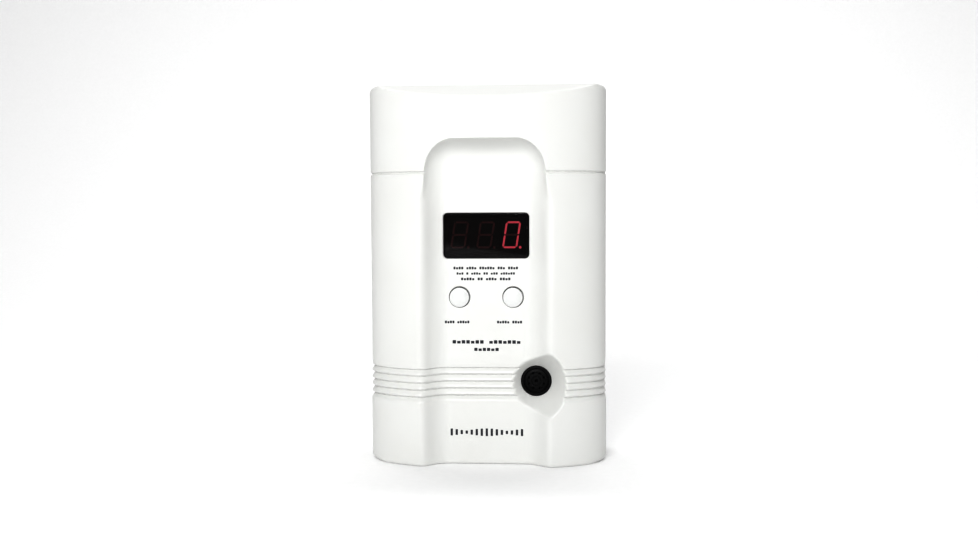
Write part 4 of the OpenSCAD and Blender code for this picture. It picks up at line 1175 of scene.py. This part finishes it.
class InnerPartsOperator(bpy.types.Operator):
    """Finishes for the CAD parts that stay as they are, inside the case"""
    bl_idname = "detector.inner_parts"
    bl_label = "Inner parts"

    def execute(self, context):
        dark = moulded("switch_plastic", (0.04, 0.04, 0.043), 0.45, 0.5)
        red = moulded("plunger_plastic", (0.33, 0.05, 0.045), 0.4, 0.4)
        pin = metal("tinned_pin", (0.68, 0.68, 0.66), 0.25, (1, 0.1, 1))
        sleeve = banded_finish("capacitor_sleeve", (0.04, 0.05, 0.15), [(0.1, 0.22, (0.6, 0.62, 0.68))],
                               9.0, "X")
        finishes = {
            "test_plunger": red, "peak_plunger": red, "test_switch": dark, "peak_switch": dark,
            "main_board": board_finish(), "microcontroller": dark, "capacitors": sleeve,
            "voltage_regulator": dark, "adapter_capacitor": sleeve,
            "resistors": banded_finish("resistor", (0.6, 0.45, 0.28),
                                       [(0.2, 0.32, (0.3, 0.12, 0.03)), (0.45, 0.57, (0.5, 0.05, 0.03)),
                                        (0.72, 0.8, (0.5, 0.35, 0.08))], 6.4, "Z"),
            "horn_coil": wound_finish("coil_wire", (0.3, 0.13, 0.05)),
            "co_sensor": metal("sensor_can", (0.62, 0.62, 0.6), 0.34, (9, 1, 1)),
            "sensor_pins": metal("gold_pin", (0.8, 0.6, 0.26), 0.25, (1, 0.1, 1)),
            "piezo_disc": metal("piezo_brass", (0.72, 0.54, 0.24), 0.32, (1, 1, 1)),
            "horn_back": moulded("horn_back_black", (0.02, 0.02, 0.022), 0.5, 0.5),
            "horn_leads": moulded("lead_pvc_horn", (0.42, 0.03, 0.03), 0.4, 0.8),
            "battery_leads": moulded("lead_pvc_battery", (0.38, 0.03, 0.03), 0.4, 0.8),
            "battery_snap": moulded("snap_vinyl", (0.03, 0.03, 0.03), 0.6, 0.8, 0.04),
            "power_inlet": moulded("inlet_nylon", (0.78, 0.76, 0.68), 0.4, 0.4),
            "inlet_pins": pin, "board_screws": metal("board_screw", (0.6, 0.6, 0.6), 0.3, (1, 1, 1)),
            "transformer_core": wound_finish("core_steel", (0.22, 0.22, 0.23), 0.5),
            "transformer_winding": wound_finish("winding_tape", (0.6, 0.42, 0.1), 0.6),
            "adapter_board": moulded("phenolic_board", (0.5, 0.34, 0.16), 0.5, 1.2, 0.02, 0.12),
            "adapter_diodes": banded_finish("diode_black", (0.03, 0.03, 0.03),
                                            [(0.1, 0.24, (0.6, 0.6, 0.6))], 4.0, "Y"),
        }
        for node, finish in finishes.items():
            part = frame["nodes"][node]
            part.data.materials.clear()
            part.data.materials.append(finish)
        return {"FINISHED"}


# ---------------------------------------------------------------- stage

class StageOperator(bpy.types.Operator):
    """Pale paper sweep, soft lights and the camera"""
    bl_idname = "detector.stage"
    bl_label = "Stage"

    def execute(self, context):
        scene = context.scene
        bend = np.linspace(0, math.pi / 2, 16)
        run = np.concatenate([[-0.9, -0.4, 0.0], 0.6 + 0.4 * np.sin(bend), [1.0]])
        rise = np.concatenate([[0, 0, 0], 0.4 - 0.4 * np.cos(bend), [1.0]])
        across = np.linspace(-1.0, 0.9, 9)
        x, y = np.meshgrid(across, run)
        z = np.repeat(rise[:, None], len(across), 1)
        rows, columns = x.shape
        number = np.arange(rows * columns).reshape(rows, columns)
        faces = np.stack([number[:-1, :-1], number[:-1, 1:], number[1:, 1:], number[1:, :-1]], -1)
        mesh = bpy.data.meshes.new("paper_sweep")
        mesh.from_pydata(np.column_stack([x.ravel(), y.ravel(), z.ravel()]).tolist(), [],
                         faces.reshape(-1, 4).tolist())
        mesh.shade_smooth()
        mesh.materials.append(stage_finish())
        paper = bpy.data.objects.new("paper_sweep", mesh)
        scene.collection.objects.link(paper)

        def soft_light(name, place, target, size, power):
            data = bpy.data.lights.new(name, "AREA")
            data.shape = "RECTANGLE"
            data.size, data.size_y = size
            data.energy = power
            lamp = bpy.data.objects.new(name, data)
            lamp.location = place
            away = np.array(place) - np.array(target)
            lamp.rotation_euler = (math.atan2(math.hypot(away[0], away[1]), away[2]), 0,
                                   math.atan2(away[0], -away[1]))
            scene.collection.objects.link(lamp)

        soft_light("key_light", (-0.08, -0.8, 0.47), (0, 0, 0.075), (0.4, 0.3), 5.7)
        soft_light("wall_light", (0.0, 0.45, 1.5), (0, 0.95, 0.2), (1.4, 0.4), 13)
        world = bpy.data.worlds.new("studio")
        world.use_nodes = True
        sky = world.node_tree.nodes["Background"].inputs
        sky["Color"].default_value = (1, 1, 1, 1)
        sky["Strength"].default_value = 0.43
        scene.world = world
        scene.view_settings.view_transform = "Standard"
        scene.view_settings.gamma = 0.625

        yaw, pitch, roll = np.radians([3.80, 3.47, -0.25])
        camera = bpy.data.cameras.new("camera")
        camera.sensor_width = 36.0
        camera.lens = 40.1
        view = bpy.data.objects.new("camera", camera)
        subject_depth, distance = 0.023, 0.4264
        view.location = (0.0287, BACK * MM - subject_depth - distance, 0.0985)
        view.rotation_mode = "QUATERNION"
        turn = Euler((math.pi / 2 - pitch, 0, yaw)).to_quaternion()
        view.rotation_quaternion = turn @ Quaternion((0, 0, 1), roll)
        scene.collection.objects.link(view)
        scene.camera = view
        return {"FINISHED"}


# ---------------------------------------------------------------- add-on

OPERATORS = (FrontCoverOperator, RearCoverOperator, BatteryDoorOperator, WindowOperator,
             DigitsOperator, ButtonsOperator, HornOperator, PrintingOperator, AdapterOperator,
             BatteryOperator, InnerPartsOperator, StageOperator)


class DetectorPanel(bpy.types.Panel):
    """Sidebar panel with the settings and one button for each group of pieces"""
    bl_idname = "VIEW3D_PT_detector"
    bl_label = "CO detector"
    bl_space_type = "VIEW_3D"
    bl_region_type = "UI"
    bl_category = "Detector"

    def draw(self, context):
        for group in (context.scene.detector_case, context.scene.detector_display,
                      context.scene.detector_trim):
            box = self.layout.box()
            for name in group.__annotations__:
                box.prop(group, name)
        for operator in OPERATORS:
            self.layout.operator(operator.bl_idname)


GROUPS = {"detector_case": CaseSettings, "detector_display": DisplaySettings,
          "detector_trim": TrimSettings}


def register():
    for cls in (*GROUPS.values(), *OPERATORS, DetectorPanel):
        bpy.utils.register_class(cls)
    for name, group in GROUPS.items():
        setattr(bpy.types.Scene, name, PointerProperty(type=group))


def unregister():
    for name in GROUPS:
        delattr(bpy.types.Scene, name)
    for cls in (DetectorPanel, *reversed(OPERATORS), *reversed(tuple(GROUPS.values()))):
        bpy.utils.unregister_class(cls)


def main():
    register()
    for operator in OPERATORS:
        area, name = operator.bl_idname.split(".")
        getattr(getattr(bpy.ops, area), name)()


if __name__ == "__main__":
    main()
